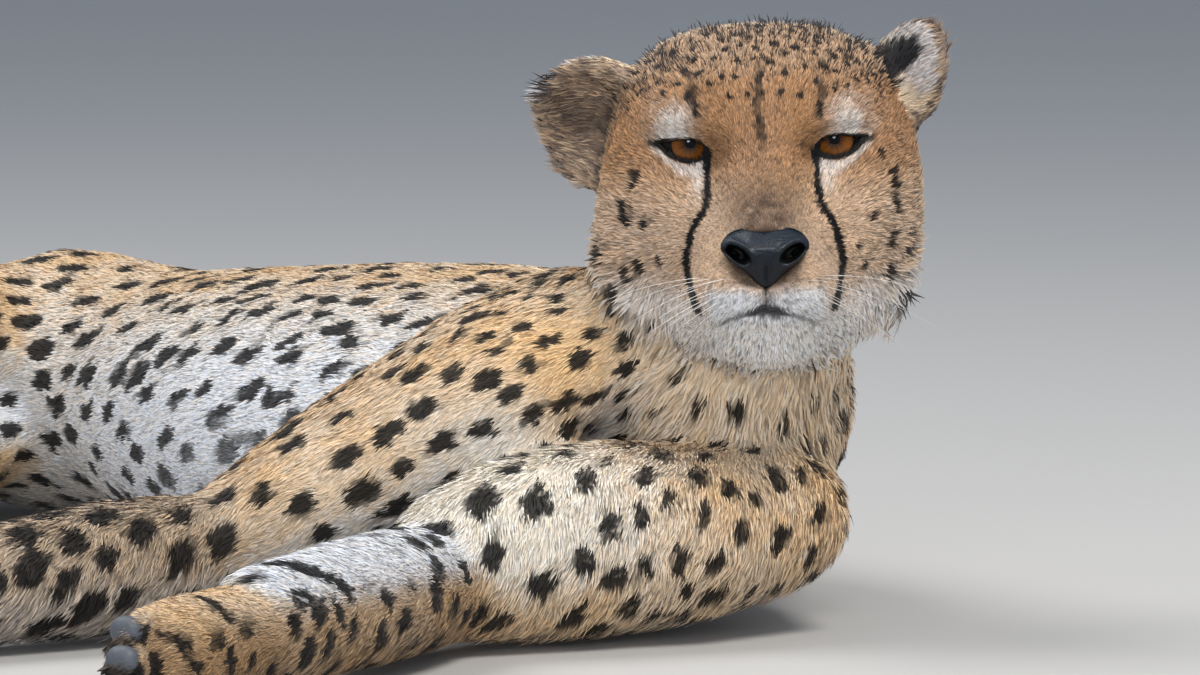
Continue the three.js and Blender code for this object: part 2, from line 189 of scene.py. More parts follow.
class Neighbours:
    """Averages values over the edges of a mesh."""

    def __init__(self, mesh):
        edges = numbers_of(mesh.edges, "vertices", 2, int)
        self.ends = np.concatenate([edges[:, 0], edges[:, 1]])
        self.others = np.concatenate([edges[:, 1], edges[:, 0]])
        self.count = len(mesh.vertices)
        self.valence = np.maximum(np.bincount(self.ends, minlength=self.count), 1)

    def mean(self, values):
        """The mean of the values over each corner's neighbours."""
        if values.ndim == 1:
            return np.bincount(self.ends, values[self.others], self.count) / self.valence
        return np.stack([self.mean(column) for column in values.T], axis=1)

    def soften(self, values, times, share=1.0):
        """Draws the values towards the mean of their neighbours, so many times."""
        for _ in range(times):
            values = values + (self.mean(values) - values) * share
        return values

    def smooth_form(self, points, times, share):
        """Takes out facets and creases without drawing the form in."""
        for _ in range(times):
            for pull in (0.55, -0.57):
                points = points + (self.mean(points) - points) * pull * share[:, None]
        return points


welded = bmesh.new()
for node in flesh_nodes:
    solid = bmesh.new()
    solid.from_mesh(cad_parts[node].data)
    bmesh.ops.remove_doubles(solid, verts=solid.verts, dist=2e-5)
    solid.normal_update()
    for vertex in solid.verts:
        vertex.co += vertex.normal * ((EAR_WELD if node.startswith("ear_") else WELD) * MM)
    solid_mesh = bpy.data.meshes.new("solid")
    solid.to_mesh(solid_mesh)
    solid.free()
    welded.from_mesh(solid_mesh)
    bpy.data.meshes.remove(solid_mesh)
# The sockets are filled in the weld, and the lids are cut out of the filling further down.
EYE_APART, EYE_RADIUS = 35.0, 15.5  # millimetres from the middle of the head, and round the ball
for side in (-1, 1):
    for radius, stretch, middle in ((1.0, (17.5, 17, 10.5), (side * (EYE_APART + 0.5), 3, -1)),
                                    (16.6, (1, 1, 1), (side * EYE_APART, EYE_BACK, 0))):
        for vertex in bmesh.ops.create_icosphere(welded, subdivisions=4, radius=radius)["verts"]:
            vertex.co = Vector(from_head(np.array(vertex.co) * stretch + middle))
hide = piece_from(welded, "hide")
remesh = hide.modifiers.new("weld", "REMESH")
remesh.mode = "VOXEL"
remesh.voxel_size = VOXEL
apply_modifiers(hide)


def facet_areas(faces):
    """The areas of triangles, from their corners."""
    return np.linalg.norm(np.cross(faces[:, 1] - faces[:, 0], faces[:, 2] - faces[:, 0]), axis=1) / 2


def corner_shares(draws):
    """Where two even draws fall in a triangle, as the shares of its three corners."""
    first = 1 - np.sqrt(draws[:, 0])
    second = draws[:, 1] * (1 - first)
    return np.stack([1 - first - second, first, second], axis=1)


def sampled(node, every=25.0):
    """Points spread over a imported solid, one for each so many square millimetres, and its corners."""
    shell = bmesh.new()
    shell.from_mesh(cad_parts[node].data)
    bmesh.ops.triangulate(shell, faces=shell.faces)
    faces = np.array([[vertex.co[:] for vertex in face.verts] for face in shell.faces])
    shell.free()
    counts = np.ceil(facet_areas(faces) / MM**2 / every).astype(int)
    chosen = np.repeat(np.arange(len(faces)), counts)
    shares = corner_shares(random.random((len(chosen), 2)))
    inside = (faces[chosen] * shares[:, :, None]).sum(axis=1)
    return np.concatenate([inside, faces.reshape(-1, 3)])


def tree_of(points):
    """A tree that finds the nearest of many points."""
    tree = KDTree(len(points))
    for number, point in enumerate(points):
        tree.insert(point, number)
    tree.balance()
    return tree


samples = [sampled(node) for node in flesh_nodes]
sample_part = np.repeat(range(len(samples)), [len(points) for points in samples])
sample_tree = tree_of(np.concatenate(samples))


def part_of(points):
    """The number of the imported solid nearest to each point."""
    return sample_part[[sample_tree.find(point)[1] for point in points]]


def by_part(parts, values, default):
    """A value for each point, looked up by the first words of its part's name."""
    found = [[value for start, value in values.items() if node.startswith(start)] for node in flesh_nodes]
    return np.array([matches[0] if matches else default for matches in found], float)[parts]


def modifier_smoothed(piece, points, times, group):
    """Blender's own smoothing of any three numbers held at the piece's corners, where the group lets it."""
    kept = corners_of(piece.data)
    set_corners(piece.data, points)
    smoothing = piece.modifiers.new("smooth", "SMOOTH")
    smoothing.factor = 0.5
    smoothing.iterations = times
    smoothing.vertex_group = group
    shaped = piece.evaluated_get(bpy.context.evaluated_depsgraph_get()).to_mesh()
    smooth = corners_of(shaped)
    piece.modifiers.remove(smoothing)
    set_corners(piece.data, kept)
    return smooth


def give_group(piece, name, weights):
    """A vertex group with the weights, in steps of a twentieth."""
    group = piece.vertex_groups.new(name=name)
    levels = np.round(np.clip(weights, 0, 1) * 20).astype(int)
    for level in range(1, 21):
        group.add(np.flatnonzero(levels == level).tolist(), level / 20, "REPLACE")


points = corners_of(hide.data)
parts = part_of(points)
local = in_head(points)
near = Neighbours(hide.data)

# How freely each place is smoothed, and how deep the coat is over it in millimetres.
freedom = by_part(parts, {"head": 0.22, "ear": 0.3, "forepaw": 0.25, "hindpaw": 0.25, "tail": 0.8}, 1.0)
give_group(hide, "smooth", near.soften(freedom, 8))
smooth = modifier_smoothed(hide, points, 110, "smooth")
points = smooth + modifier_smoothed(hide, points - smooth, 110, "smooth") * 0.95
set_corners(hide.data, points)

COAT_DEPTH = {"head": 2.2, "ear": 0.9, "neck": 5.5, "forepaw": 1.8, "hindpaw": 1.8, "foreleg_left_lower": 3.0,
              "foreleg_right_lower": 3.0, "foreleg": 4.2, "hindleg": 3.6, "tail": 4.0}
depth = by_part(parts, COAT_DEPTH, 4.8)
depth = depth * (1 - 0.55 * step(38, 8, local[:, 1]) * (parts == PART["head"]))
inward = near.soften(depth, 12) + by_part(parts, {"ear": EAR_WELD}, WELD)
points = points - numbers_of(hide.data.vertex_normals, "vector", 3) * (inward * MM)[:, None]
# The toes of the left forepaw fall away to their ends.
PAW_LOW, PAW_THICK = 30, 32.5  # where they begin to fall, over the floor, and the paw's height over that
across, _, high = ((points - STAND) / MM).T
top = np.interp(across, [-216, -213, -207, -200, -192], [42, 45.5, 53, 58.5, 62.5])
toes = (parts == PART["forepaw_left"]) & (high > PAW_LOW)
fallen = np.where(toes, PAW_LOW + (high - PAW_LOW) * (top - PAW_LOW) / PAW_THICK, high)
points[:, 2] += (fallen - high) * MM
# The right ear narrows to its foot, and the left one slopes down from its tip.
RIGHT_EAR_FROM, LEFT_EAR_FROM = -75, 25  # across and up on the head's own axes
local = in_head(points)
narrower = np.interp(local[:, 2], [-30, -18, -1, 16, 40], [0.72, 0.74, 0.78, 0.87, 0.9])
beyond = (parts == PART["ear_right"]) & (local[:, 0] < RIGHT_EAR_FROM)
narrowed = RIGHT_EAR_FROM + (local[:, 0] - RIGHT_EAR_FROM) * narrower
local[:, 0] = np.where(beyond, narrowed, local[:, 0])
lower = np.interp(local[:, 0], [46, 59, 67, 74, 86], [0.55, 0.62, 0.76, 0.84, 1.0])
above = (parts == PART["ear_left"]) & (local[:, 2] > LEFT_EAR_FROM)
local[:, 2] = np.where(above, LEFT_EAR_FROM + (local[:, 2] - LEFT_EAR_FROM) * lower, local[:, 2])
points = from_head(local)
set_corners(hide.data, points)


# The face. The hide is finer there, and is modelled on the head's own axes: lids that lie on the
# balls of the eyes, the tear troughs, the whisker pads, the lips, the philtrum and the chin.
def refine(piece, wanted):
    """Halves the facets whose corners are all wanted."""
    shell = bmesh.new()
    shell.from_mesh(piece.data)
    marks = wanted(in_head(corners_of(piece.data)))
    faces = [face for face in shell.faces if all(marks[vertex.index] for vertex in face.verts)]
    edges = list({edge for face in faces for edge in face.edges})
    bmesh.ops.subdivide_edges(shell, edges=edges, cuts=1, use_grid_fill=True)
    shell.to_mesh(piece.data)
    shell.free()
    piece.data.update()


def by_eye(local):
    """Outward, upward and forward of the middle of the nearer eye, in millimetres."""
    side = np.where(local[:, 0] < 0, -1.0, 1.0)
    return side * local[:, 0] - EYE_APART, local[:, 2], EYE_BACK - local[:, 1]


INNER_CORNER, OUTER_CORNER = -8.6, 14.4  # outward from the middle of the eye
LID_RADIUS = 16.7  # of the lids where they lie on the ball
# How far up the edges of the upper and the lower lid lie, from place to place outward.
LID_OUT = np.array([-14, -8.6, -6, -3, 0, 3.5, 6.8, 10, 12.4, 14.4, 21])
LID_UPPER = np.array([-1.5, 0.8, 3.6, 5.1, 5.6, 5.5, 5.1, 4.6, 4.2, 3.9, 3.2])
LID_LOWER = np.array([-1.5, -1.9, -3.9, -4.7, -4.9, -4.4, -3.2, -1.0, 1.5, 3.8, 4.4])


def outside_lids(out, up):
    """Millimetres outside the opening between the lids, below 0 inside it."""
    upper = np.interp(out, LID_OUT, LID_UPPER)
    lower = np.interp(out, LID_OUT, LID_LOWER)
    across = np.maximum(up - upper, lower - up)
    ends = np.maximum(out - OUTER_CORNER, INNER_CORNER - out)
    return np.where((across > 0) & (ends > 0), np.hypot(across, ends), np.maximum(across, ends))


in_face = lambda q: (q[:, 1] < 26) & (q[:, 2] > -104) & (q[:, 2] < 40) & (abs(q[:, 0]) < 62)
in_features = lambda q: (
    ((np.hypot(by_eye(q)[0] - 3, by_eye(q)[1] * 1.3) < 21) & (q[:, 1] < 22))
    | ((abs(q[:, 0]) < 36) & (q[:, 2] < -34) & (q[:, 2] > -98) & (q[:, 1] < -22))
)
in_lids = lambda q: (abs(outside_lids(*by_eye(q)[:2])) < 3.0) & (q[:, 1] < 16)
refine(hide, in_face)
points = corners_of(hide.data)
local = in_head(points)
out, up, ahead = by_eye(local)
gap = outside_lids(out, up)
ball = np.sqrt(LID_RADIUS**2 - np.minimum(np.hypot(out * 0.86, up), 15.2) ** 2)
# The lids cling to the ball and run out into the brow, the cheek and the side of the nose.
width = 11 - 2.5 * step(0, 8, up) + 3 * step(-4, -10, out)
share = step(0, 1, np.maximum(gap, 0) / width)
front = (local[:, 1] < 24) & (gap < 16)
local[:, 1] = np.where(front, EYE_BACK - (ball * (1 - share) + ahead * share), local[:, 1])
set_corners(hide.data, from_head(local))
refine(hide, in_features)
refine(hide, in_lids)
points = corners_of(hide.data)
mesh = hide.data
near = Neighbours(mesh)
local = in_head(points)
calm = step(34, 20, local[:, 1]) * (abs(local[:, 0]) < 66) * (local[:, 2] > -104) * (local[:, 2] < 40)
local = near.smooth_form(local, 6, calm)

out, up, _ = by_eye(local)
gap = outside_lids(out, up)
x, y, z = local.T
front = step(20, 8, y)
move = np.zeros_like(local)
# Between the lids the hide lies behind the ball. The rims are thick, with a crease over the upper one.
opening = step(0.25, -0.55, gap) * (y < 16)
crease = bell((gap - 3.6, 1.1)) * step(0, 3, up) * step(-9, -4, out) * step(16, 10, out)
rim = bell((gap - 0.9, 0.9))
pouch = bell((gap - 4.2, 2.0)) * step(0, -4, up)
brow = bell((out + 1, 15), (z - 12, 5.5))
move[:, 1] += front * (1.1 * crease - 0.5 * rim - 0.5 * pouch - 2.6 * brow)
# The tear trough runs from the inner corner of the eye down the side of the muzzle to the lip.
TEAR_DOWN = np.array([-80.0, -72.5, -62, -55, -48, -39, -32, -25, -19, -8, 0])
TEAR_OUT = np.array([30.0, 32, 35.8, 37.2, 37.2, 34.8, 31.5, 27.5, 26.3, 26.2, 26])
tear = abs(abs(x) - np.interp(z, TEAR_DOWN, TEAR_OUT))
move[:, 1] += front * 0.7 * bell((tear, 2.2)) * step(-76, -68, z) * step(2, -6, z)
# The whisker pads swell at each side of the philtrum, over the line of the mouth.
pad = bell((abs(x) - 15, 10), (z + 63, 8)) * step(-20, -40, y)
move[:, 1] -= 2.4 * pad
move[:, 0] += 1.2 * pad * np.sign(x)
MOUTH_OUT = np.array([0.0, 4, 9, 15, 21, 26])
MOUTH_UP = np.array([-70.6, -70.9, -72.0, -74.4, -77.4, -79.5])
mouth = np.interp(abs(x), MOUTH_OUT, MOUTH_UP)
under = z - mouth
lips = step(28, 20, abs(x)) * step(0, -20, y)
move[:, 1] += lips * (2.8 * bell((under, 1.3)) - 0.9 * bell((under - 4, 3)))
move[:, 1] -= lips * bell((under + 5, 3.5)) * step(20, 10, abs(x))
philtrum = bell((x, 1.1)) * step(-72, -70, z) * step(-55, -59, z) * step(-30, -45, y)
move[:, 1] += 2.0 * philtrum
# Shallow valleys beside the bridge of the nose, and the hollow of the cheek behind the pads.
bridge = bell((abs(x) - 21, 5), (z + 30, 16)) * step(10, -5, y)
move[:, 1] += 1.6 * bridge
behind_nose = step(1.0, 0.8, np.hypot(x / 19.5, (z + 44) / np.where(z > -44, 7, 13))) * step(-20, -40, y)
move = near.soften(move, 1)
move[:, 1] += opening * 5.5 + behind_nose * 9
set_corners(mesh, from_head(local + move))


# The lie of the coat. The hide is thinned where it is plain, and each place on it is told which way
# the hairs lie there, how long they are and how much they stand up.
SKIN_FACETS = 176000
thinning = hide.modifiers.new("thin", "DECIMATE")
thinning.ratio = SKIN_FACETS / (2 * len(hide.data.polygons))
hide.vertex_groups.clear()
apply_modifiers(hide)
shell = bmesh.new()
shell.from_mesh(hide.data)
bmesh.ops.triangulate(shell, faces=shell.faces)
loose = [vertex for vertex in shell.verts if len(vertex.link_faces) < 3]
bmesh.ops.delete(shell, geom=loose, context="VERTS")
shell.to_mesh(hide.data)
shell.free()
hide.data.update()
mesh = hide.data

points = corners_of(mesh)
normals = numbers_of(mesh.vertex_normals, "vector", 3)
near = Neighbours(mesh)
parts = part_of(points)
local = in_head(points)
broad = unit(near.soften(normals, 10))


def along_line(points, line):
    """How far along a line of joints each point lies, from 0 to 1, and the line's heading there."""
    starts, spans = line[:-1], line[1:] - line[:-1]
    lengths = np.linalg.norm(spans, axis=1)
    shares = np.clip(np.einsum("psi,si->ps", points[:, None] - starts, spans) / lengths**2, 0, 1)
    feet = starts + shares[:, :, None] * spans
    nearest = np.argmin(np.linalg.norm(points[:, None] - feet, axis=2), axis=1)
    before = np.concatenate([[0], np.cumsum(lengths)])
    distance = before[nearest] + shares[np.arange(len(points)), nearest] * lengths[nearest]
    return distance / before[-1], unit(spans)[nearest]


LIMBS = {  # the first words of the parts along each line of joints
    ("foreleg_right", "forepaw_right"): foreleg_right, ("foreleg_left", "forepaw_left"): foreleg_left,
    ("hindleg_right", "hindpaw_right"): hindleg_right, ("hindleg_left", "hindpaw_left"): hindleg_left,
    ("tail",): tail,
}
COMBED = {  # how much of its heading along the limb the hair keeps, and what is added to it
    "foreleg_left_upper": (0.35, -UP), "foreleg_right_lower": (0.6, -0.7 * UP),
    "foreleg_left_lower": (0.4, [-0.9, 0, -0.25]), "forepaw_left": (0.4, [-0.9, 0, -0.25]),
}


def part_starts(*words):
    """Whether each point lies on a part whose name starts with one of the words."""
    return np.isin(parts, [PART[node] for node in flesh_nodes if node.startswith(words)])


lie = np.tile(CAUDAL - 0.25 * DORSAL, (len(points), 1))
on_neck = part_starts("neck")
lie[on_neck] = unit(chest - from_head([0, 60, -60]))
on_head = part_starts("head")
lie[on_head] = unit(points[on_head] - from_head([0, -64, -44]))
for ear in ("ear_right", "ear_left"):
    on_ear = part_starts(ear)
    lie[on_ear] = unit(np.array(middle_of(ear)) - from_head([0, 50, -15]))
for words, line in LIMBS.items():
    on_limb = part_starts(*words)
    lie[on_limb] = along_line(points[on_limb], line)[1]
for word, (kept, added) in COMBED.items():
    lie[part_starts(word)] = lie[part_starts(word)] * kept + added
droop = on_head * step(-56, -80, local[:, 2]) * step(30, 50, abs(local[:, 0])) * step(-30, 0, local[:, 1])
lie = near.soften(unit(lie - droop[:, None] * 1.2 * UP), 14)


def flattened(vectors, normals):
    """Vectors laid on the surface and brought to length 1."""
    return unit(vectors - normals * np.einsum("ij,ij->i", vectors, normals)[:, None])


lie = flattened(lie, broad)


def ripple(points, size, seed):
    """A soft random number about 0 at each point, whose swells are about so many millimetres wide."""
    draws = np.random.default_rng(seed)
    total = 0
    for _ in range(7):
        heading = unit(draws.normal(size=3)) * draws.uniform(0.7, 1.6) * 2 * math.pi / (size * MM)
        total = total + np.sin(points @ heading + draws.uniform(0, 6.28))
    return total / 2.6


def ear_frame(side, lean, turn, back):
    """The directions that an ear rises in and opens in, on the head's own axes."""
    turned = (Matrix.Rotation(math.radians(side * lean), 3, "Y") @ Matrix.Rotation(math.radians(turn), 3, "Z")
              @ Matrix.Rotation(math.radians(back), 3, "X"))
    return np.array(turned @ Vector((0, 0, 1))), np.array(turned @ Vector((0, -1, 0)))


EARS = {
    "ear_right": (np.array([-58, 48, 2]), *ear_frame(-1, 75, -14, -8)),
    "ear_left": (np.array([58, 68, 11]), *ear_frame(1, 59, 140, -40)),
}
EAR_RISE = 37 * 1.55  # millimetres from an ear's foot to its tip


# Lengths and widths of the tufts and of their spacing are in millimetres, the lift in degrees.
x, y, z = local.T
out, up, _ = by_eye(local)
LENGTHS = {"head": 5.0, "ear": 5.0, "neck": 14.5, "forepaw_left": 5.5, "forepaw": 4.0, "hindpaw": 4.0,
           "tail": 8, "foreleg_left_lower": 7.5, "foreleg_right_lower": 9.5, "foreleg_left_upper": 9.0,
           "foreleg": 7.0, "hindleg": 6.6}
LIFTS = {"foreleg_left_upper": 27, "foreleg_left_lower": 14, "foreleg_right_lower": 22, "head": 20, "ear": 30,
         "neck": 27, "forepaw": 20, "hindpaw": 20, "tail": 24}
length = by_part(parts, LENGTHS, 7.0) * (1 - 0.34 * step(34, 4, y) * on_head)
length = length + on_head * (
    2.6 * step(36, 54, abs(x)) * step(8, -12, z)
    + 7 * step(48, 66, abs(x)) * step(-28, -60, z) * step(-5, 20, y)
    + 1.6 * step(24, 40, z) * step(-5, 20, y)
    + 4 * step(-77, -84, z) * (y > -60)
    + 10 * step(-84, -98, z) * step(-44, -10, y)
    + 7 * step(-60, -80, z) * step(38, 56, abs(x)) * step(-20, 10, y)
)
ear_height, ear_inside = np.zeros(len(points)), np.zeros(len(points))
for ear, (foot, rise, opening) in EARS.items():
    here = parts == PART[ear]
    ear_height = np.where(here, (local - foot) @ rise / EAR_RISE, ear_height)
    ear_inside = np.where(here, (broad @ TURN) @ opening, ear_inside)
length = length + 4.5 * step(0.35, 0.7, ear_inside)
length = length + 3.5 * part_starts("ear") * step(0.4, 0.0, abs(ear_inside))
length = length + 7 * part_starts("ear_right") * step(0.68, 0.88, ear_height) * step(14, 28, z)
length = near.soften(length, 6)
muzzle = on_head & (step(-22, -40, y) > 0.5)
length = np.where(muzzle, 2.0 + 1.4 * step(-60, -66, z) + 2.8 * step(-78, -85, z), length)
lift = by_part(parts, LIFTS, 17) + on_head * (
    14 * step(-78, -94, z) + 8 * step(30, 46, z) + 10 * step(48, 66, abs(x)) * step(-20, -60, z)
)
lift = near.soften(lift, 4)


# The markings, the same on hide and hairs. The coat is tawny over the back and the outer sides and
# white under the belly and inside the legs, with round black spots, bars, tail rings and tear lines.
def linear(red, green, blue):
    """A colour in a shader's own shares of light, from the usual 0 to 255."""
    shares = np.array([red, green, blue]) / 255
    return np.where(shares <= 0.04045, shares / 12.92, ((shares + 0.055) / 1.055) ** 2.4)


TAWNY, GOLD, BUFF = linear(225, 201, 171), linear(221, 188, 146), linear(224, 214, 202)
WHITE, GREY, BLACK = linear(236, 237, 240), linear(126, 112, 98), linear(15, 13, 13)
RUST, DUSK, SAND = linear(156, 109, 69), linear(92, 71, 57), linear(204, 173, 148)
CREAM = linear(244, 233, 222)


def layered(colours, layers):
    """The colours with each layer's own colour mixed in by its share, one after the other."""
    for other, share in layers:
        colours = colours + (other - colours) * np.asarray(share)[..., None]
    return colours


def facing_share(direction):
    """How squarely each place of the hide faces a direction, from -1 to 1."""
    return broad @ unit(direction)


# How pale each place of the hide is: 0 on the back and outer sides, 1 under the belly.
spine_height = np.einsum("ij,j->i", points - chest, DORSAL) / MM
upward = broad @ UP
elbow, wrist, knuckle = foreleg_left[1:]
bend = np.linalg.norm(points - elbow - np.array([0.012, 0.0, 0.03]), axis=1) / MM
crook = step(115, 40, bend) * step(-0.6, 0.4, facing_share([0, -0.2, 1]))
jaw = step(-46, -92, z + 2.5 * ripple(points, 12, 4)) * step(95, 60, y)
PALE = {
    "trunk": 0.08 + 0.88 * step(40, -108, spine_height),
    "foreleg_right": 0.15 + 0.5 * step(0.15, -0.6, upward),
    "hindleg_right": step(0.15, -0.6, upward),
    "hindleg_left": step(-0.35, 0.35, upward),
    "foreleg_left_lower": 1.1 * step(0.15, 0.75, facing_share([0.12, -0.1, 1])),
    "foreleg_left_upper": 0.14 + 0.5 * crook,
    "neck": 0.1 + 0.24 * step(-0.1, 0.75, facing_share([-0.35, -1, -0.25])),
    "tail": step(0.1, -0.7, upward),
    "head": np.maximum(jaw, 0.62 * step(30, 58, abs(x)) * step(-42, -76, z)),
}
pale = np.zeros(len(points))
for word, share in PALE.items():
    pale = np.where(part_starts(word), share, pale)
pale = near.soften(pale, 9)

# Spots: spacing, radius, stretch along the hair, softness of the edge. Millimetres but for the stretch.
SPOTS = {
    "head": (8.5, 1.5, 1.3, 0.7), "ear": (30, 0.1, 1, 1), "neck": (18.0, 4.2, 1.15, 1.7),
    "foreleg_right_upper": (11.0, 4.6, 1.25, 0.6), "foreleg_left_upper": (14.6, 5.6, 1.1, 0.7),
    "foreleg_right_lower": (17.5, 8.2, 1.2, 0.9), "foreleg_left_lower": (15.5, 6.9, 1.1, 0.8),
    "forepaw_left": (13, 5.9, 1.15, 0.7), "forepaw": (10.5, 4.3, 1.4, 0.6), "hindpaw": (10.5, 3.8, 1.4, 0.7),
    "hindleg": (15.5, 6.0, 1.2, 0.7), "tail": (17.5, 7.4, 1.1, 0.9),
}
CROWN_SPOTS, NAPE_SPOTS = (6.4, 1.5, 1.6, 0.5), (9.0, 2.2, 1.3, 0.5)
spot_values = by_part(parts, SPOTS, (17.5, 7.3, 1.35, 0.8))
# The spots of the forelegs grow from the shoulder down to the elbow.
down_right = np.clip(along_line(points, foreleg_right[:2])[0], 0, 1)
down_left = step(0.45, 0.95, along_line(points, foreleg_left[:2])[0])
spot_values[:, :2] += (part_starts("foreleg_right_upper") * down_right)[:, None] * [7, 3.0]
spot_values[:, :2] += (part_starts("foreleg_left_upper") * down_left)[:, None] * [7, 3.2]
spot_values = near.soften(spot_values, 5)
belly = near.soften(step(-92, -128, spine_height) * part_starts("trunk"), 9)
spot_values += belly[:, None] * [4, 2.0, 0, 2.6]


ALONG = 1.35  # how much further apart the spots are along the hair than across it


def scattered(spacing, allowed):
    """Corners of the hide at least so far apart, in millimetres, picked where they are allowed."""
    cells = {}
    kept = []
    order = random.permutation(len(points))
    size = spacing.max() * ALONG * MM
    for index in order[allowed[order]]:
        point = points[index]
        cell = tuple((point // size).astype(int))
        least = spacing[index] * MM
        around = [other for dx in (-1, 0, 1) for dy in (-1, 0, 1) for dz in (-1, 0, 1)
                  for other in cells.get((cell[0] + dx, cell[1] + dy, cell[2] + dz), ())]
        away = points[around] - point
        squares = np.einsum("ij,ij->i", away, away) - (away @ lie[index]) ** 2 * (1 - 1 / ALONG**2)
        if np.all(squares > least**2):
            cells.setdefault(cell, []).append(index)
            kept.append(index)
    return np.array(kept)


body_spots = scattered(spot_values[:, 0], ~on_head & ~part_starts("ear"))
crown = on_head & (z > 26) & (np.hypot(out, up) > 22)
nape = on_head & (y > 62) & (z > -20)
head_values = np.where(crown[:, None], CROWN_SPOTS, NAPE_SPOTS)
head_spots = scattered(head_values[:, 0], crown | nape)
body_values, head_values = spot_values[body_spots], head_values[head_spots]
spot_at = np.concatenate([body_spots, head_spots])
spot_radius = np.concatenate([
    body_values[:, 1] * random.uniform(0.75, 1.12, len(body_spots)),
    head_values[:, 1] * random.uniform(0.7, 1.3, len(head_spots)),
])
spot_stretch = np.concatenate([
    body_values[:, 2] * random.uniform(0.9, 1.25, len(body_spots)), head_values[:, 2],
])
spot_soft = np.concatenate([body_values[:, 3], head_values[:, 3]])
spot_tree = tree_of(points[spot_at])
spot_places, spot_lies = points[spot_at], lie[spot_at]
over_paw = part_starts("forepaw_left", "foreleg_left_lower")[spot_at]
spot_lies[over_paw] = unit(np.cross(broad[spot_at], spot_lies) + 0.35 * spot_lies)[over_paw]

# Long black bars over the white inner side of the left wrist, the last of them a dark streak down a crease of
# the wrist: both ends, and half a width.
BARS = [
    ((-168, -228, 62), (-150, -208, 60), 3.4), ((-151, -236, 64), (-126, -220, 58), 5.2),
    ((-126, -220, 58), (-113, -211, 47), 4.2), ((-139, -257, 54), (-126, -238, 48), 2.2),
    ((-138, -259, 50), (-132, -255, 46), 2.0), ((-131, -250, 48), (-126, -242, 44), 2.2),
    ((-121, -230, 47), (-116, -224, 36), 3.2), ((-166, -262, 62), (-152, -256, 60), 2.6),
    ((-195, -332, 45), (-181, -326, 38), 1.9), ((-206, -347, 47), (-200, -342, 42), 1.6),
    ((-211, -349, 46), (-205, -352, 44), 1.4), ((-178, -295, 58), (-164, -296, 46), 3.2),
]
# Marks of the cheeks on the head's own axes: across, back and up, then a radius, a stretch and a softness.
CHEEK_MARKS = [
    (-61.4, 1, -14, 2.1, 2.2, 0.6), (-66.9, 5, -28.3, 2.9, 1.3, 0.7), (-63, 2, -39, 1.5, 1.2, 0.6),
    (-56.6, -5, -34, 1.5, 1.2, 0.7), (-75, 26, -42, 1.8, 1.3, 0.7), (-79, 31, -53, 4.2, 1.2, 1.2),
    (-84, 60, -60, 2.6, 1.3, 0.8), (-67.6, 10, -61, 2.4, 1.3, 0.8), (-60.8, 3, -56, 2.5, 1.4, 0.7),
    (-50.4, -6, -53, 1.5, 1.2, 0.8), (-73.7, 25, -70.6, 3.6, 1.2, 1.1), (-78, 30, -82, 3.0, 1.9, 1.1),
    (57.3, 0.4, -5.3, 1.7, 2.0, 0.6), (63, 2, -15.7, 2.2, 1.8, 0.6), (63.8, 2, -28, 2.5, 1.9, 0.6),
    (52.9, -8, -32.3, 1.4, 1.2, 0.6), (45.2, -12, -47.6, 1.3, 1.2, 0.7), (48.2, -5, -56.6, 1.6, 1.2, 0.7),
    (61.7, 5, -47.7, 1.9, 1.3, 0.7), (70.8, 18, -43.5, 2.3, 1.2, 0.7), (73, 28, -45.5, 1.8, 1.2, 0.7),
    (70, 23, -53, 2.4, 1.3, 0.8), (60.9, 12, -63, 2.5, 1.3, 0.8), (64.6, 38, -79.5, 4.4, 1.4, 1.2),
    (-88, 50, -34, 2.6, 1.4, 0.8), (80, 48, -30, 2.6, 1.4, 0.8), (79, 52, -58, 3.4, 1.3, 1.0),
]

gap = outside_lids(out, up)
opening_share = step(0.3, -0.3, gap) * on_head * (y < 16)
wave = ripple(points, 9, 3)
near_to = lambda x, y, z, size: bell(*((off / MM, size) for off in (points - place(x, y, z)).T))
right_arm = near.soften(part_starts("foreleg_right_upper") * 1.0, 4)
colour = layered(np.tile(TAWNY, (len(points), 1)), [
    (GOLD, np.clip(0.5 + ripple(points, 60, 5) * 0.5, 0, 1)),
    (BUFF, step(0.1, 0.55, pale + 0.08 * wave)),
    (np.where(on_head[:, None], CREAM, WHITE), step(0.45, 0.95, pale + 0.08 * wave)),
    (linear(255, 246, 238), 0.92 * step(0.2, 0.8, jaw) * on_head),
    (linear(252, 228, 196), 0.8 * near.soften(on_neck * 1.0, 6)),
    (linear(232, 190, 132), 0.75 * right_arm * near_to(-24, 18, 134, 34)),
    (linear(244, 238, 228), 0.85 * right_arm * near_to(-52, 6, 91, 26)),
    (linear(250, 240, 222), 0.8 * near.soften(part_starts("foreleg_left_upper") * crook, 6)),
])

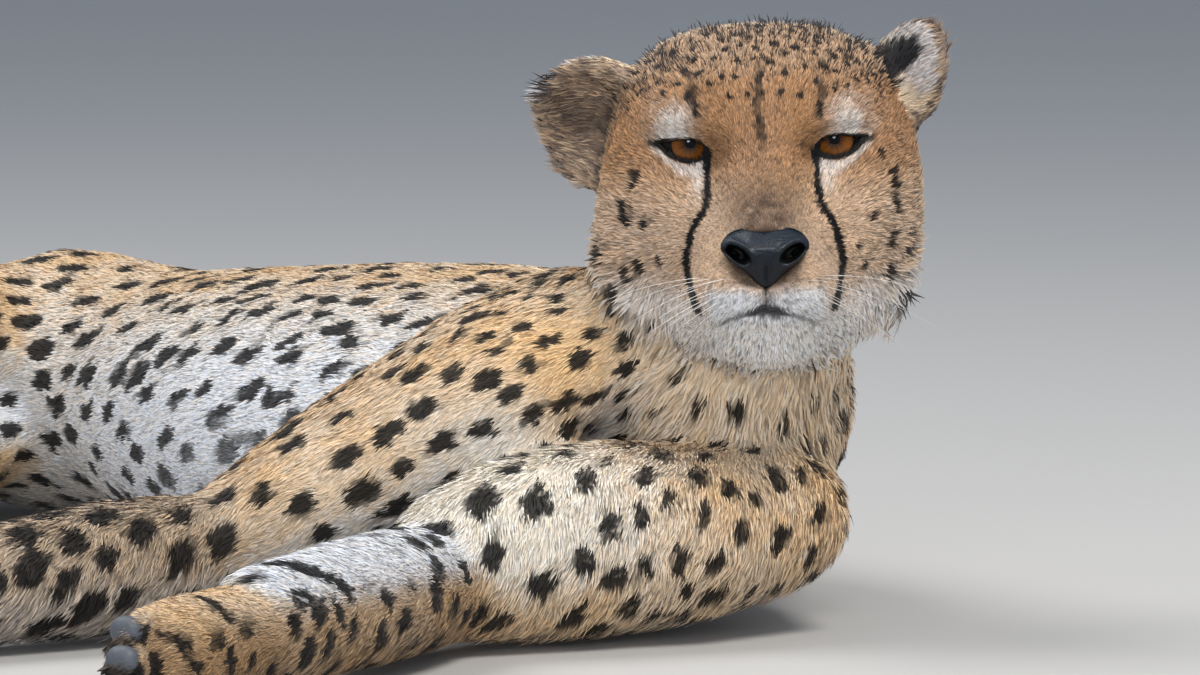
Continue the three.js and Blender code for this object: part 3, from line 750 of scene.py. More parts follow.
# Face: white brows, cheeks under the eyes, lips and chin, and a grey-brown bridge.
front = on_head * step(46, 20, y)
dusk = np.exp(-((x / 17) ** 4)) * step(-2, -24, z) * step(-10, -22, y) * step(-68, -52, z)
brow = np.exp(-((abs(out - 7.2 + 0.1 * (up - 10) + 1.6 * wave) / 8.8) ** 2.3)) * step(4.5, 7, up)
under_eye = step(1.0, 2.6, gap) * step(0, -5, gap + 0.6 * wave - 9.5 + 0.15 * out)
under_eye = under_eye * step(1.5, -1.5, up - 0.33 * out) * step(-12, -8, out) * step(22, 15, out)
from_tear = abs(x) - np.interp(z, TEAR_DOWN, TEAR_OUT)
lips = step(-57, -66, z + 0.4 * wave + 3 * step(12, 0, abs(x))) * step(32, 24, abs(x)) * step(-14, -26, y)
colour = layered(colour, [
    (RUST, on_head * 0.85 * step(66, 30, y) * step(-46, 0, z)),
    (SAND, front * 0.7 * step(-10, -34, z) * step(-80, -58, z + 0.3 * (48 - abs(x)))),
    (DUSK, front * np.clip(dusk * (0.88 + 0.1 * wave), 0, 1)),
    (DUSK, front * 0.35 * bell((x, 7)) * step(-34, -8, z) * step(16, 0, z)),
    (linear(176, 152, 128), on_head * 0.6 * step(26, 46, z + 0.25 * y + 2 * wave) * step(95, 60, y)),
    (linear(236, 230, 222), front * 0.9 * brow * step(30, 9, up + 2.5 * wave)),
    (linear(232, 222, 214), front * 0.78 * under_eye),
    (linear(232, 222, 214), front * 0.7 * bell((from_tear - 4.5, 3.5)) * step(-27, -12, z) * step(2, -5, z)),
    (WHITE, front * 0.9 * lips),
    (linear(244, 239, 233), front * 0.85 * step(-74, -80, z) * step(52, 26, abs(x))),
    (GREY, front * 0.7 * step(0.35, 0.9, ripple(points, 3.2, 8)) * bell((x, 15), (z + 76, 6))),
])

# Black on the face: tear lines, rims of the lids, streaks on the brow, rows of whisker spots, the mouth.
from_line = abs(from_tear + 0.15 * wave) - 0.012 * np.maximum(0, -20 - z) - step(-12, -2, z)
rims = step(1.7, 0.9, gap + 0.15 * wave - 0.5 * step(7, 13, out) - 0.4 * step(-4, -8, out))
wedge = 0.9 * step(2.2, 1.0, abs(up - 0.2 * out)) * step(12.5, 14.5, out) * step(21, 18, out)
middle_streak = step(3.0, 1.4, abs(x + 0.8 - 0.8 * np.sin(z * 0.23))) * step(-1, 9, z) * step(48, 30, z)
brow_streaks = bell((abs(x + 1.5) - 29.5 - 0.12 * (z - 20), 2.4)) * step(13, 17, z) * step(36, 28, z)
ROW_OUT, ROW_UP = 5.4, 4.6
across_rows = abs(x) - 15 - ROW_OUT * np.round((abs(x) - 15) / ROW_OUT)
up_rows = z + 62 - ROW_UP * np.round((z + 62) / ROW_UP)
whisker_spots = step(1.5, 0.8, np.hypot(across_rows, up_rows)) * (abs(z + 62) < 8) * (abs(abs(x) - 18) < 9.5)
over_mouth = z - np.interp(abs(x), MOUTH_OUT, MOUTH_UP)
mouth_line = step(2.4, 0.6, abs(over_mouth + 0.4 + 0.4 * wave) - 2.0 * bell((x, 7))) * step(29, 20, abs(x))
above_mouth = bell((x, 1.6 + 0.5 * np.maximum(0, -61 - z))) * step(-58, -64, z) * step(-77, -72, z)
dark = np.max([
    front * step(2.15, 1.15, from_line) * step(-76.5, -73, z) * step(3, -1, z) * (y < 4),
    on_head * (y < 26) * np.maximum(rims, wedge),
    on_head * (y < 60) * np.maximum(middle_streak * np.clip(0.85 + 0.2 * wave, 0, 1), brow_streaks),
    front * 0.4 * whisker_spots * (y < -30),
    front * 0.85 * bell((x, 1.3)) * step(-58, -60, z) * step(-73.5, -71, z),
    front * (0.9 - 0.3 * step(7, 13, abs(x))) * mouth_line * (y < -18),
    front * 0.8 * bell((x, 9.5), (over_mouth + 1.5 + 0.6 * wave, 3.4)) * (y < -25),
    front * np.clip(0.62 + 0.2 * wave, 0, 1) * above_mouth * (y < -30),
], axis=0)

# Ears: black backs with tawny feet and rims, and pale hair with a dark root inside.
patch = step(1.2, 0.8, np.hypot((x - 64) / 17, (z - 37 - 0.45 * (x - 64)) / 8) + 0.18 * wave)
for ear, (foot, rise, _) in EARS.items():
    height = ear_height + 0.04 * wave
    from_middle = np.linalg.norm(np.cross(local - foot, rise), axis=1)
    black = step(0.16, 0.3, height) * step(0.8, 0.7, height) * step(-0.35, -0.6, ear_inside)
    if ear == "ear_left":
        behind = step(0.14, 0.26, height) * step(0.56, 0.46, height) * step(0.1, -0.2, ear_inside)
        black = np.maximum(behind * step(68, 76, y), patch)
    outside = layered(np.tile(TAWNY, (len(points), 1)), [
        (linear(190, 182, 178), step(0.5, 0.75, height)),
        (linear(24, 23, 26), black),
    ])
    within = layered(np.tile(linear(186, 160, 134), (len(points), 1)), [
        (linear(122, 104, 92), step(-0.5, 0.9, ripple(points, 5, 31))),
        (linear(84, 70, 62), 0.8 * step(15, 4, from_middle) * step(0.95, 0.6, height)),
        (linear(40, 36, 36), step(0.72, 0.9, height) * step(12, 26, z) * (ear == "ear_right")),
    ])
    on_ear = (parts == PART[ear])[:, None]
    colour = np.where(on_ear, np.where((ear_inside > 0.05)[:, None], within, outside), colour)

# The left wrist and paw are golden brown on their outer side, and the right wrist and paw are greyed and
# darkened with painted shade.
tanned = part_starts("forepaw_left") + part_starts("foreleg_left_lower") * 0.7
toe_end = step(16, 28, (points - knuckle) @ unit(knuckle - wrist) / MM)
sole = part_starts("forepaw_left") * toe_end * step(0.2, 0.7, facing_share([-0.5, -0.85, 0.15]))
# Painted shade: the right wrist and paw are darkened and greyed as if they lay in shadow.
painted_shade_right_wrist = part_starts("foreleg_right_lower", "forepaw_right") * 0.72
colour = layered(colour, [
    (linear(140, 106, 68), near.soften(tanned * step(0.75, 0.2, upward), 6) * 0.85),
    (linear(58, 50, 46), near.soften(sole, 3) * np.clip(0.8 + 0.25 * wave, 0, 1)),
    (linear(150, 134, 118), near.soften(painted_shade_right_wrist, 12)),
])

# Spots are round or a little drawn out along the hair, with ragged edges, and softer on the belly.
def from_spot(away, heading, stretch):
    """How far off a spot's middle the places are, counted shorter along the spot's heading."""
    along = np.einsum("ij,ij->i", away, np.broadcast_to(heading, away.shape))
    beside = np.sqrt(np.maximum(np.einsum("ij,ij->i", away, away) - along**2, 0))
    return np.hypot(along / stretch, beside * np.sqrt(stretch))


spot = np.zeros(len(points))
ragged = 0.4 * ripple(points, 5.5, 11) + 0.35 * ripple(points, 16, 12)
nearest_spots = np.array([[found[1] for found in spot_tree.find_n(place, 3)] for place in points])
for which in nearest_spots.T:
    distance = from_spot((points - spot_places[which]) / MM, spot_lies[which], spot_stretch[which])
    edge = spot_radius[which] - ragged * np.minimum(spot_radius[which] / 7, 1)
    spot = np.maximum(spot, step(1, -1, (distance - edge) / spot_soft[which]))
spot = spot * (1 - 0.3 * belly) * ~part_starts("ear")
for across, back, high, radius, stretch, soft in CHEEK_MARKS:
    distance = from_spot(local - [across, back, high], unit([0.3 * np.sign(across), 0.25, -0.92]), stretch)
    spot = np.maximum(spot, on_head * step(1, -1, (distance - 1.6 * radius + 0.3 * ragged) / soft))

# Tail: the spots run together into black rings over the last third, and the tip is white.
RINGS_FROM, RINGS_APART, TIP_FROM = 0.6, 0.088, 0.975  # shares of the tail's length
share = along_line(points, tail)[0]
rings = step(0.0, 0.25, np.sin((share - 0.62) * 2 * math.pi / RINGS_APART) + 0.25 * wave)
rings = rings * step(RINGS_FROM, 0.64, share) * step(TIP_FROM, 0.955, share)
on_tail = part_starts("tail")
spot = np.where(on_tail & (share > RINGS_FROM), rings, spot)

# Left foreleg: thin black bars on the white inner side of the wrist, in place of its spots.
down_arm = (points - elbow) @ (wrist - elbow) / ((wrist - elbow) @ (wrist - elbow))
bars = np.zeros(len(points))
for one_end, other_end, wide in BARS:
    start, span = place(*one_end), place(*other_end) - place(*one_end)
    at = np.clip((points - start) @ span / (span @ span), 0, 1)
    away = (points - start - at[:, None] * span) / MM
    depth = np.einsum("ij,ij->i", away, broad)
    from_bar = np.linalg.norm(away - broad * depth[:, None], axis=1) + step(8, 14, abs(depth)) * 20
    from_edge = from_bar - wide * (0.8 + 0.5 * np.sin(at * math.pi)) + 0.4 * ragged
    bars = np.maximum(bars, step(0.8, -0.8, from_edge))
on_wrist = part_starts("foreleg_left_lower", "forepaw_left")
spot = np.maximum(spot * (1 - on_wrist * step(0.3, 0.6, upward) * step(0.3, 0.5, down_arm)), bars * on_wrist)
colour = layered(colour, [
    (BUFF, on_tail * 0.6 * step(RINGS_FROM, 0.7, share)),
    (WHITE, on_tail * step(0.95, TIP_FROM, share)),
    (BLACK, np.clip(np.maximum(dark, spot * 0.97), 0, 1)),
])


def give_colour(mesh, name, colours):
    """A colour for each corner of the mesh, as an attribute that its material reads."""
    layer = mesh.color_attributes.new(name=name, type="FLOAT_COLOR", domain="POINT")
    values = np.ones((len(colours), 4), np.float32)
    values[:, :3] = np.clip(colours, 0, 1)
    layer.data.foreach_set("color", values.ravel())


give_colour(mesh, "coat", colour)

# The hide's own unwrap, from its shape, where each tuft also finds its place.
bpy.context.view_layer.objects.active = hide
hide.select_set(True)
bpy.ops.object.mode_set(mode="EDIT")
bpy.ops.mesh.select_all(action="SELECT")
bpy.ops.uv.smart_project(angle_limit=math.radians(66), island_margin=0.002)
bpy.ops.object.mode_set(mode="OBJECT")
hide.select_set(False)
mesh = hide.data
mesh.uv_layers[0].name = "OFBake"
mesh.shade_smooth()


# The finish of the hide: bare skin with the down of the coat on it, coloured by the markings, with
# a fine lying grain.
def set_sockets(node, **values):
    """Plain values on a node's own sockets, whose names are written with _ for each space."""
    for socket, value in values.items():
        node.inputs[socket.replace("_", " ")].default_value = value
    return node


def shader_of(material):
    """The material's Principled shader."""
    return material.node_tree.nodes["Principled BSDF"]


def new_material(name, **values):
    """A material whose Principled shader has the values on its sockets."""
    material = bpy.data.materials.new(name)
    material.use_nodes = True
    set_sockets(shader_of(material), **values)
    return material


def new_node(material, kind, **values):
    """Another node of the material, with the values on its sockets."""
    return set_sockets(material.node_tree.nodes.new("ShaderNode" + kind), **values)


def pattern(material, kind, scale, **values):
    """A pattern over the piece's own shape, in swells of about 1/scale metres."""
    texture = new_node(material, kind, Scale=scale, **values)
    where = new_node(material, "TexCoord")
    material.node_tree.links.new(where.outputs["Object"], texture.inputs["Vector"])
    return texture


def tint_node(material, blend_type="MIX"):
    """A mix of two colours, on the shader's base colour."""
    tint = new_node(material, "Mix")
    tint.data_type, tint.blend_type = "RGBA", blend_type
    material.node_tree.links.new(tint.outputs[2], shader_of(material).inputs["Base Color"])
    return tint


def coat_colour(material, scale, low, high):
    """The piece's own colours, made a little darker and lighter from place to place."""
    held = new_node(material, "VertexColor")
    held.layer_name = "coat"
    noise = pattern(material, "TexNoise", scale, Detail=3.0, Roughness=0.55)
    spread = new_node(material, "MapRange", To_Min=low, To_Max=high)
    tint = tint_node(material, "MULTIPLY")
    tint.inputs[0].default_value = 1.0
    join = material.node_tree.links.new
    join(noise.outputs["Fac"], spread.inputs["Value"])
    join(held.outputs["Color"], tint.inputs[6])
    join(spread.outputs["Result"], tint.inputs[7])
    return noise


def bumped(material, height, strength, distance):
    """A fine relief on the piece, from an output of one of its patterns."""
    bump = new_node(material, "Bump", Strength=strength, Distance=distance)
    material.node_tree.links.new(height, bump.inputs["Height"])
    material.node_tree.links.new(bump.outputs["Normal"], shader_of(material).inputs["Normal"])
    return bump


hide_finish = new_material("hide", Roughness=0.72, Specular_IOR_Level=0.25, Sheen_Weight=0.12,
                           Sheen_Roughness=0.5)
bumped(hide_finish, coat_colour(hide_finish, 900, 0.62, 1.02).outputs["Fac"], 0.5, 0.0006)
mesh.materials.clear()
mesh.materials.append(hide_finish)
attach(hide, "root")
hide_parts(*flesh_nodes)


# The coat. Short hair in tufts, each a thin blade of hairs bent along the body, rooted in the hide and
# lying over the next ones. They are smallest on the face and the feet, longest on neck and chin.
TUFTS = 690000
MOST_TUFTS = 96000  # in one mesh of the coat
width = 0.068 * length + 0.14
attention = (1 - 0.6 * step(-0.55, -0.95, normals[:, 2])) * (1 - opening_share)
density = attention / (length * width)

triangles = numbers_of(mesh.loops, "vertex_index", 1, int).reshape(-1, 3)
triangle_uv = numbers_of(mesh.uv_layers["OFBake"].uv, "vector", 2, np.float32).reshape(-1, 3, 2)
chances = np.cumsum(facet_areas(points[triangles]) * density[triangles].mean(axis=1))
rooted = np.searchsorted(chances, random.random(TUFTS) * chances[-1])
shares = corner_shares(random.random((TUFTS, 2)))


def at_roots(values):
    """The hide's values where the tufts are rooted."""
    return np.einsum("ij,ij...->i...", shares, values[triangles[rooted]])


root, skin_normal, root_lie = at_roots(points), unit(at_roots(broad)), at_roots(lie)
root_length, root_width, root_lift = at_roots(length), at_roots(width), at_roots(lift)
root_uv = np.einsum("ij,ijk->ik", shares, triangle_uv[rooted])
root_on_head = on_head[triangles[rooted, 0]]
root_on_neck = on_neck[triangles[rooted, 0]]

# Dark guard hairs stand out of the coat over the crown and the nape.
GUARDS, GUARD_LENGTH, GUARD_LIFT = 0.13, 1.55, 22  # their share, how much longer they are, degrees more lift
root_guard = at_roots(near.soften(on_head * step(18, 40, z + 0.3 * y) * step(-34, 8, y) * 1.0, 4))
guards = random.random(TUFTS) < GUARDS * root_guard * np.clip(0.7 + 0.9 * ripple(root, 9, 27), 0.1, 2)
root_length = np.where(guards, root_length * GUARD_LENGTH, root_length)
root_lift = np.where(guards, root_lift + GUARD_LIFT, root_lift)

# The hairs part and gather in small locks, so their heading, length and lift wander together.
locks = ripple(root, 14, 21)
swirl = 9 * ripple(root, 32, 22) + 8 * locks + random.normal(0, 7, TUFTS)
sideways = np.cross(skin_normal, root_lie)
angle = np.radians(swirl)[:, None]
heading = flattened(unit(root_lie * np.cos(angle) + sideways * np.sin(angle)), skin_normal)
rise = np.radians(root_lift * (1 + 0.3 * ripple(root, 9, 23)) * random.uniform(0.6, 1.35, TUFTS))[:, None]
reach_of = (root_length * random.uniform(0.75, 1.15, TUFTS) * (1 + 0.12 * locks) * MM)[:, None]
half_wide = (root_width * random.uniform(0.8, 1.2, TUFTS) * 0.5 * MM)[:, None]
roll = np.radians(random.normal(0, 24, TUFTS))[:, None]
beside = unit(np.cross(skin_normal, heading))
beside = unit(beside * np.cos(roll) + skin_normal * np.sin(roll))
first_leg = heading * np.cos(rise) + skin_normal * np.sin(rise)
second_leg = heading * np.cos(rise * 0.25) + skin_normal * np.sin(rise * 0.25)
middle = root + first_leg * reach_of * 0.42
blades = np.stack([
    root - skin_normal * 0.15 * MM, middle + beside * half_wide, middle - beside * half_wide,
    middle + second_leg * reach_of * 0.58,
], axis=1)

# A tuft has the colour of the marking that its outer half lies over, with painted shade at its root, where
# the tufts shade each other, and painted light at its paler tip.
hide_places = tree_of(points)
over = root + heading * reach_of * 0.66
root_colour = colour[[hide_places.find(place)[1] for place in over]]
clumps = 0.19 * ripple(root, 3.2, 24) + 0.08 * ripple(root, 8, 25)
clumps = np.where(root_on_head, clumps, 0.05 * ripple(root, 5, 26))
tone = np.clip(random.normal(1.0, np.where(root_on_head, 0.33, 0.2), TUFTS) + clumps, 0.35, 1.7)[:, None]
warmth = random.normal(0, 0.05, TUFTS)[:, None] * np.array([1.0, 0.1, -1.0])
tuft_colour = root_colour * tone * (1 + warmth)
tuft_colour = np.where(guards[:, None], linear(44, 33, 27) * tone, tuft_colour)
# Painted shade and light along each tuft, one share for each of its corners: root, the two at its middle,
# tip.
shading = np.where(root_on_head[:, None], [0.36, 0.9, 0.9, 1.3], [0.5, 0.92, 0.92, 1.24])
shading = np.where(root_on_neck[:, None], [0.66, 1.0, 1.0, 1.34], shading)
blade_colours = tuft_colour[:, None, :] * shading[:, :, None]
# The palest are held back without a change of hue, and none is quite black.
PALEST, DARKEST = 0.9, 0.004
peak = np.maximum(blade_colours.max(axis=2, keepdims=True), 1e-4)
blade_colours = np.maximum(blade_colours * np.minimum(1, PALEST / peak), DARKEST)
HALF_PATCH = 0.0012  # half the breadth of one tuft's patch on the unwrap, which is 1 wide
blade_uv = root_uv[:, None, :] + np.array([[-1, -1], [1, -1], [-1, 1], [1, 1]]) * HALF_PATCH
blade_normals = unit(skin_normal * 0.66 + np.cross(heading, beside) * 0.34)

coat_finish = new_material("coat", Roughness=0.62, Specular_IOR_Level=0.2, Sheen_Weight=0.08,
                           Sheen_Roughness=0.4)
coat_colour(coat_finish, 600, 0.84, 1.1)


def coat_piece(name, wanted):
    """One piece of the coat: the wanted tufts, four corners and two facets each."""
    chosen = np.flatnonzero(wanted)
    count = len(chosen)
    tufts = bpy.data.meshes.new(name)
    tufts.vertices.add(count * 4)
    tufts.vertices.foreach_set("co", blades[chosen].ravel())
    base = np.arange(count)[:, None] * 4
    facets = (base + np.array([[0, 2, 1, 1, 2, 3]])).ravel()
    tufts.loops.add(count * 6)
    tufts.loops.foreach_set("vertex_index", facets)
    tufts.polygons.add(count * 2)
    tufts.polygons.foreach_set("loop_start", np.arange(count * 2) * 3)
    tufts.polygons.foreach_set("use_smooth", np.ones(count * 2, bool))
    tufts.update(calc_edges=True)
    layer = tufts.uv_layers.new(name="OFBake")
    layer.uv.foreach_set("vector", blade_uv[chosen].reshape(-1, 2)[facets].ravel().astype(np.float32))
    give_colour(tufts, "coat", blade_colours[chosen].reshape(-1, 3))
    tufts.normals_split_custom_set_from_vertices(np.repeat(blade_normals[chosen], 4, axis=0))
    tufts.materials.append(coat_finish)
    piece = bpy.data.objects.new(name, tufts)
    bpy.context.scene.collection.objects.link(piece)
    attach(piece, "root")
    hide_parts(*flesh_nodes)


COAT_PIECES = {  # the slot, and the first words of the parts that the tufts are rooted on
    "head": ("coat_head", "head"), "ears": ("coat_ear", "ear"), "neck": ("coat_body", "neck"),
    "trunk": ("coat_body", "trunk"), "tail": ("coat_body", "tail"),
    "foreleg_right": ("coat_body", "foreleg_right", "forepaw_right"),
    "foreleg_left": ("coat_body", "foreleg_left", "forepaw_left"),
    "hindleg_right": ("coat_body", "hindleg_right", "hindpaw_right"),
    "hindleg_left": ("coat_body", "hindleg_left", "hindpaw_left"),
}
down = root @ CAUDAL
for name, (slot, *words) in COAT_PIECES.items():
    wanted = part_starts(*words)[triangles[rooted, 0]]
    # A piece too large for one mesh is parted across the length of the body.
    count = math.ceil(wanted.sum() / MOST_TUFTS)
    limits = np.quantile(down[wanted], np.linspace(0, 1, count + 1))
    which = np.clip(np.searchsorted(limits, down) - 1, 0, count - 1)
    for number in range(count):
        ending = f"_{number + 1}" if count > 1 else ""
        coat_piece("coat_" + name + ending, wanted & (which == number))


# The eyes. Each is a glass ball with a domed cornea over an amber iris, dark at its rim and drawn in
# fine spokes, with a small round pupil. They look at the one who stands before the animal.
IRIS, PUPIL, CORNEA = 9.2, 2.6, 0.8  # the two radii and how far the cornea stands out, in millimetres
CORNEA_EDGE = 36  # degrees from the line of sight
AMBER, UMBER, LIMBUS = linear(114, 66, 17), linear(54, 30, 10), linear(14, 10, 7)
eye_finish = new_material("eye", Roughness=0.45, Specular_IOR_Level=0.0, Coat_Weight=0.75,
                          Coat_Roughness=0.03, Coat_IOR=1.4)
coat_colour(eye_finish, 1400, 0.85, 1.1)

for name, side, gaze_out, gaze_up in (("right", -1, -4.0, 13.0), ("left", 1, -0.5, 13.0)):
    shell = bmesh.new()
    polar = np.radians(np.concatenate([np.linspace(0, CORNEA_EDGE, 50), np.linspace(39, 180, 40)]))
    dome = CORNEA * np.clip(1 - (polar / math.radians(CORNEA_EDGE)) ** 2, 0, 1) ** 2
    profile = [shell.verts.new((0, -(EYE_RADIUS + d) * math.cos(p), (EYE_RADIUS + d) * math.sin(p)))
               for p, d in zip(polar, dome)]
    ring = [shell.edges.new(pair) for pair in zip(profile[:-1], profile[1:])]
    bmesh.ops.spin(shell, geom=profile + ring, cent=(0, 0, 0), axis=(0, 1, 0), angle=2 * math.pi, steps=168)
    bmesh.ops.remove_doubles(shell, verts=shell.verts, dist=0.002)
    bmesh.ops.recalc_face_normals(shell, faces=shell.faces)
    ball = np.array([vertex.co[:] for vertex in shell.verts])
    from_axis = np.hypot(ball[:, 0], ball[:, 2]) * np.where(ball[:, 1] < 0, 1, 100)
    round_it = np.arctan2(ball[:, 2], ball[:, 0])
    draws = np.random.default_rng(40 + side)
    spokes = sum(np.sin(round_it * count + draws.uniform(0, 6.3) + from_axis * draws.uniform(-0.25, 0.25))
                 for count in (11, 17, 26, 37, 49, 61)) / 3.2
    iris = layered(np.tile(UMBER, (len(ball), 1)), [
        (AMBER, step(2.5, 6.8, from_axis + 0.9 * spokes)),
        (AMBER * 1.25, 0.5 * step(0.2, 0.9, spokes) * step(3.5, 6, from_axis)),
        (BLACK * 0.3, step(PUPIL + 0.3, PUPIL - 0.2, from_axis)),
        (LIMBUS, step(IRIS - 1.1, IRIS - 0.1, from_axis + 0.15 * spokes)),
        (linear(52, 38, 32), step(IRIS + 0.6, IRIS + 2.5, from_axis)),
    ])
    gaze = Matrix.Rotation(math.radians(side * gaze_out), 3, "Z")
    gaze = gaze @ Matrix.Rotation(math.radians(-gaze_up), 3, "X")
    for vertex, at in zip(shell.verts, ball):
        vertex.co = Vector(from_head(np.array(gaze @ Vector(at)) + [side * EYE_APART, EYE_BACK, 0]))
    eyeball = piece_from(shell, "eyeball_" + name)
    give_colour(eyeball.data, "coat", iris)
    eyeball.data.shade_smooth()
    eyeball.data.materials.append(eye_finish)
    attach(eyeball, "root")
    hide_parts("eye_" + name)


# The nose leather. Bare wet slate-black skin, a broad pad on top that narrows to the groove of the
# lip, with rolled wings round two comma-shaped nostrils.
NOSE_UP = -44.5  # the middle of the leather on the head's own axes
NOSTRIL_OUT, NOSTRIL_UP = 12.8, -44.0  # the middle of a nostril
NOSE_EDGE = np.array([  # across and up, on the animal's left from the top to the groove
    [0, -34.2], [4, -33.2], [9, -32.6], [14, -33.4], [18, -35.6], [20.6, -39.0], [20.9, -42.0], [18.6, -45.0],
    [14.6, -48.6], [10.4, -51.8], [7.0, -55.2], [3.6, -58.6], [0, -61.0],
])
around = np.linspace(0, 2 * math.pi, 176, endpoint=False)
edge_across, edge_up = NOSE_EDGE[:, 0], NOSE_EDGE[:, 1] - NOSE_UP
edge_out = np.interp(np.minimum(around, 2 * math.pi - around), np.arctan2(edge_across, edge_up),
                     np.hypot(edge_across, edge_up))
NOSE_PROFILE = np.array([[-64, -64.4], [-60, -64.8], [-55, -66.2], [-50, -68.2], [-45, -69.8], [-41, -69.6],
                         [-38, -67.4], [-35, -63.6], [-32, -59.5]])
nose_up = np.linspace(-70, -26, 221)
nose_ahead = np.interp(nose_up, NOSE_PROFILE[:, 0], NOSE_PROFILE[:, 1])
for _ in range(60):
    nose_ahead[1:-1] = (nose_ahead[:-2] + nose_ahead[1:-1] + nose_ahead[2:]) / 3


def nostril(across, up):
    """1 on the edge of the nearer nostril and less inside it: a slanting oval."""
    across, up = abs(across) - NOSTRIL_OUT, up - NOSTRIL_UP
    return np.hypot((across * 0.84 + up * 0.54) / 6.6, (-across * 0.54 + up * 0.84) / 3.4)


def nose_depth(across, up):
    """How far forward the leather lies at a place across and up the nose."""
    depth = np.interp(up, nose_up, nose_ahead) + 0.0155 * across**2
    side = abs(across)
    # The nostril has a slit that curls out and up from it under the wing.
    pit = nostril(across, up)
    slit = np.hypot(np.maximum(0, abs(side - 16.2) - 2.6) / 1.0, (up + 43.6 - 0.35 * (side - 16)) / 0.9)
    depth = depth - 1.1 * bell((pit - 1.5, 0.35))
    depth = depth + 7.5 * step(1.15, 0.45, pit) + 2.6 * step(1.5, 0.5, slit)
    depth = depth + 0.9 * bell((across, 0.7)) * step(-46, -52, up)
    return depth - 0.5 * bell((side - 6.5, 2.8)) * step(-50, -42, up)


def nose_ring(share, back=None):
    """A ring over the leather at that share of its breadth, or behind it, so far back."""
    across, up = np.sin(around) * edge_out * share, NOSE_UP + np.cos(around) * edge_out * share
    if back is None:
        back = nose_depth(across, up) + 2.2 * step(0.86, 1.0, share) ** 2
    return from_head(np.stack([across, np.broadcast_to(back, across.shape), up], axis=1))


def loft(shell, rings, capped=True):
    """A skin over a row of rings of equally many points, closed at both ends where it is capped."""
    made = [[shell.verts.new(point) for point in ring] for ring in rings]
    for low, high in zip(made[:-1], made[1:]):
        for i in range(len(low)):
            j = (i + 1) % len(low)
            shell.faces.new((low[i], low[j], high[j], high[i]))
    if capped:
        shell.faces.new(made[0][::-1])
        shell.faces.new(made[-1])


shell = bmesh.new()
inward = [*np.linspace(0, 0.94, 44), 0.97, 0.99, 1.0]
behind = [nose_ring(1.0, -58.0), nose_ring(0.85, -54.0), nose_ring(0.4, -51.5), nose_ring(0.0, -51.0)]
loft(shell, [nose_ring(share) for share in inward] + behind, capped=False)
bmesh.ops.remove_doubles(shell, verts=shell.verts, dist=0.01 * MM)
bmesh.ops.recalc_face_normals(shell, faces=shell.faces)
bmesh.ops.triangulate(shell, faces=[face for face in shell.faces if len(face.verts) > 4])
leather = piece_from(shell, "nose_leather")
across, _, up = in_head(corners_of(leather.data)).T
give_colour(leather.data, "coat", layered(np.tile(linear(5, 14, 24), (len(up), 1)), [
    # The top of the leather is a lighter blue: a painted sheen of the sky on its upper side.
    (linear(10, 25, 38), step(-44, -36, up)),
    # The nostrils are near black: their dark inner skin, with painted shade in the pits.
    (linear(2, 2, 2), step(1.2, 0.85, nostril(across, up))),
]))
leather.data.shade_smooth()
leather_finish = new_material("nose_leather", Roughness=0.46, Specular_IOR_Level=0.24, Coat_Weight=0.22,
                              Coat_Roughness=0.26)
coat_colour(leather_finish, 700, 0.8, 1.15)
pebbles = pattern(leather_finish, "TexVoronoi", 950)
bumped(leather_finish, pebbles.outputs["Distance"], 0.6, 0.0005).invert = True
leather.data.materials.append(leather_finish)
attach(leather, "root")
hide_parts("nose")


# Pads and claws. Each paw has four toe pads and a broad pad behind them, of bare slate-grey skin, and
# four blunt dark claws that never draw in quite. They stand a little out of the hide of the paw.
CRANIAL = -CAUDAL
PAWS = {  # wrist or hock, knuckle, over the toes, spread of the toes, whether the sole faces down
    "forepaw_right": (*foreleg_right[-2:], CRANIAL + 0.15 * UP, 13.6, 1),
    "forepaw_left": (*foreleg_left[-2:], UP - 0.25 * CRANIAL, 13.6, -1),
    "hindpaw_right": (*hindleg_right[-2:], UP + 0.3 * CRANIAL, 13.2, 1),
    "hindpaw_left": (*hindleg_left[-2:], UP + 0.2 * CRANIAL, 13.2, 1),
}
LEFT_TOES = {1.5: (-207, -341, 48), 0.5: (-211, -356, 37), -0.5: (-208, -353, 23), -1.5: (-199, -340, 12)}
pad_finish = new_material("paw_pad", Roughness=0.55)
bumped(pad_finish, coat_colour(pad_finish, 500, 0.75, 1.15).outputs["Fac"], 0.4, 0.0004)
claw_finish = new_material("claw", Roughness=0.35)
coat_colour(claw_finish, 900, 0.8, 1.1)


CLAW_LENGTH, CLAW_RADIUS, CLAW_SUNK = 9.5, 2.1, 2.5  # millimetres


def pad(shell, middle, facing, along, half_sizes):
    """A rounded pad at middle that faces outward, longer along one way. Millimetres but for the middle."""
    facing = unit(facing)
    along = unit(along - facing * (along @ facing))
    axes = np.stack([along, np.cross(facing, along), facing]) * np.array(half_sizes)[:, None] * MM
    for vertex in bmesh.ops.create_icosphere(shell, subdivisions=4, radius=1.0)["verts"]:
        at = np.array(vertex.co)
        at = np.sign(at) * abs(at) ** 0.9
        vertex.co = Vector(middle + at @ axes)


def claw(shell, start, forward, down):
    """A short curved claw, thick at its root and blunt at its end."""
    beside = np.cross(forward, down)
    rings = []
    for share in np.linspace(0, 1, 9):
        centre = start + (forward * share * CLAW_LENGTH + down * 3.2 * share**2) * MM
        thick = CLAW_RADIUS * (1 - share**1.6) + 0.35
        rings.append([centre + (beside * math.cos(a) * 0.7 + down * math.sin(a)) * thick * MM
                      for a in np.linspace(0, 2 * math.pi, 12, endpoint=False)])
    loft(shell, rings)


hide_tree = BVHTree.FromPolygons(points.tolist(), triangles.tolist())


def landed(at, facing, above=0.05, within=0.03):
    """Where a ray that comes back from above the place meets the hide, if that is near enough."""
    hit = hide_tree.ray_cast(Vector(at + facing * above), Vector(-facing))[0]
    return None if hit is None or np.linalg.norm(np.array(hit) - at) > within else np.array(hit)


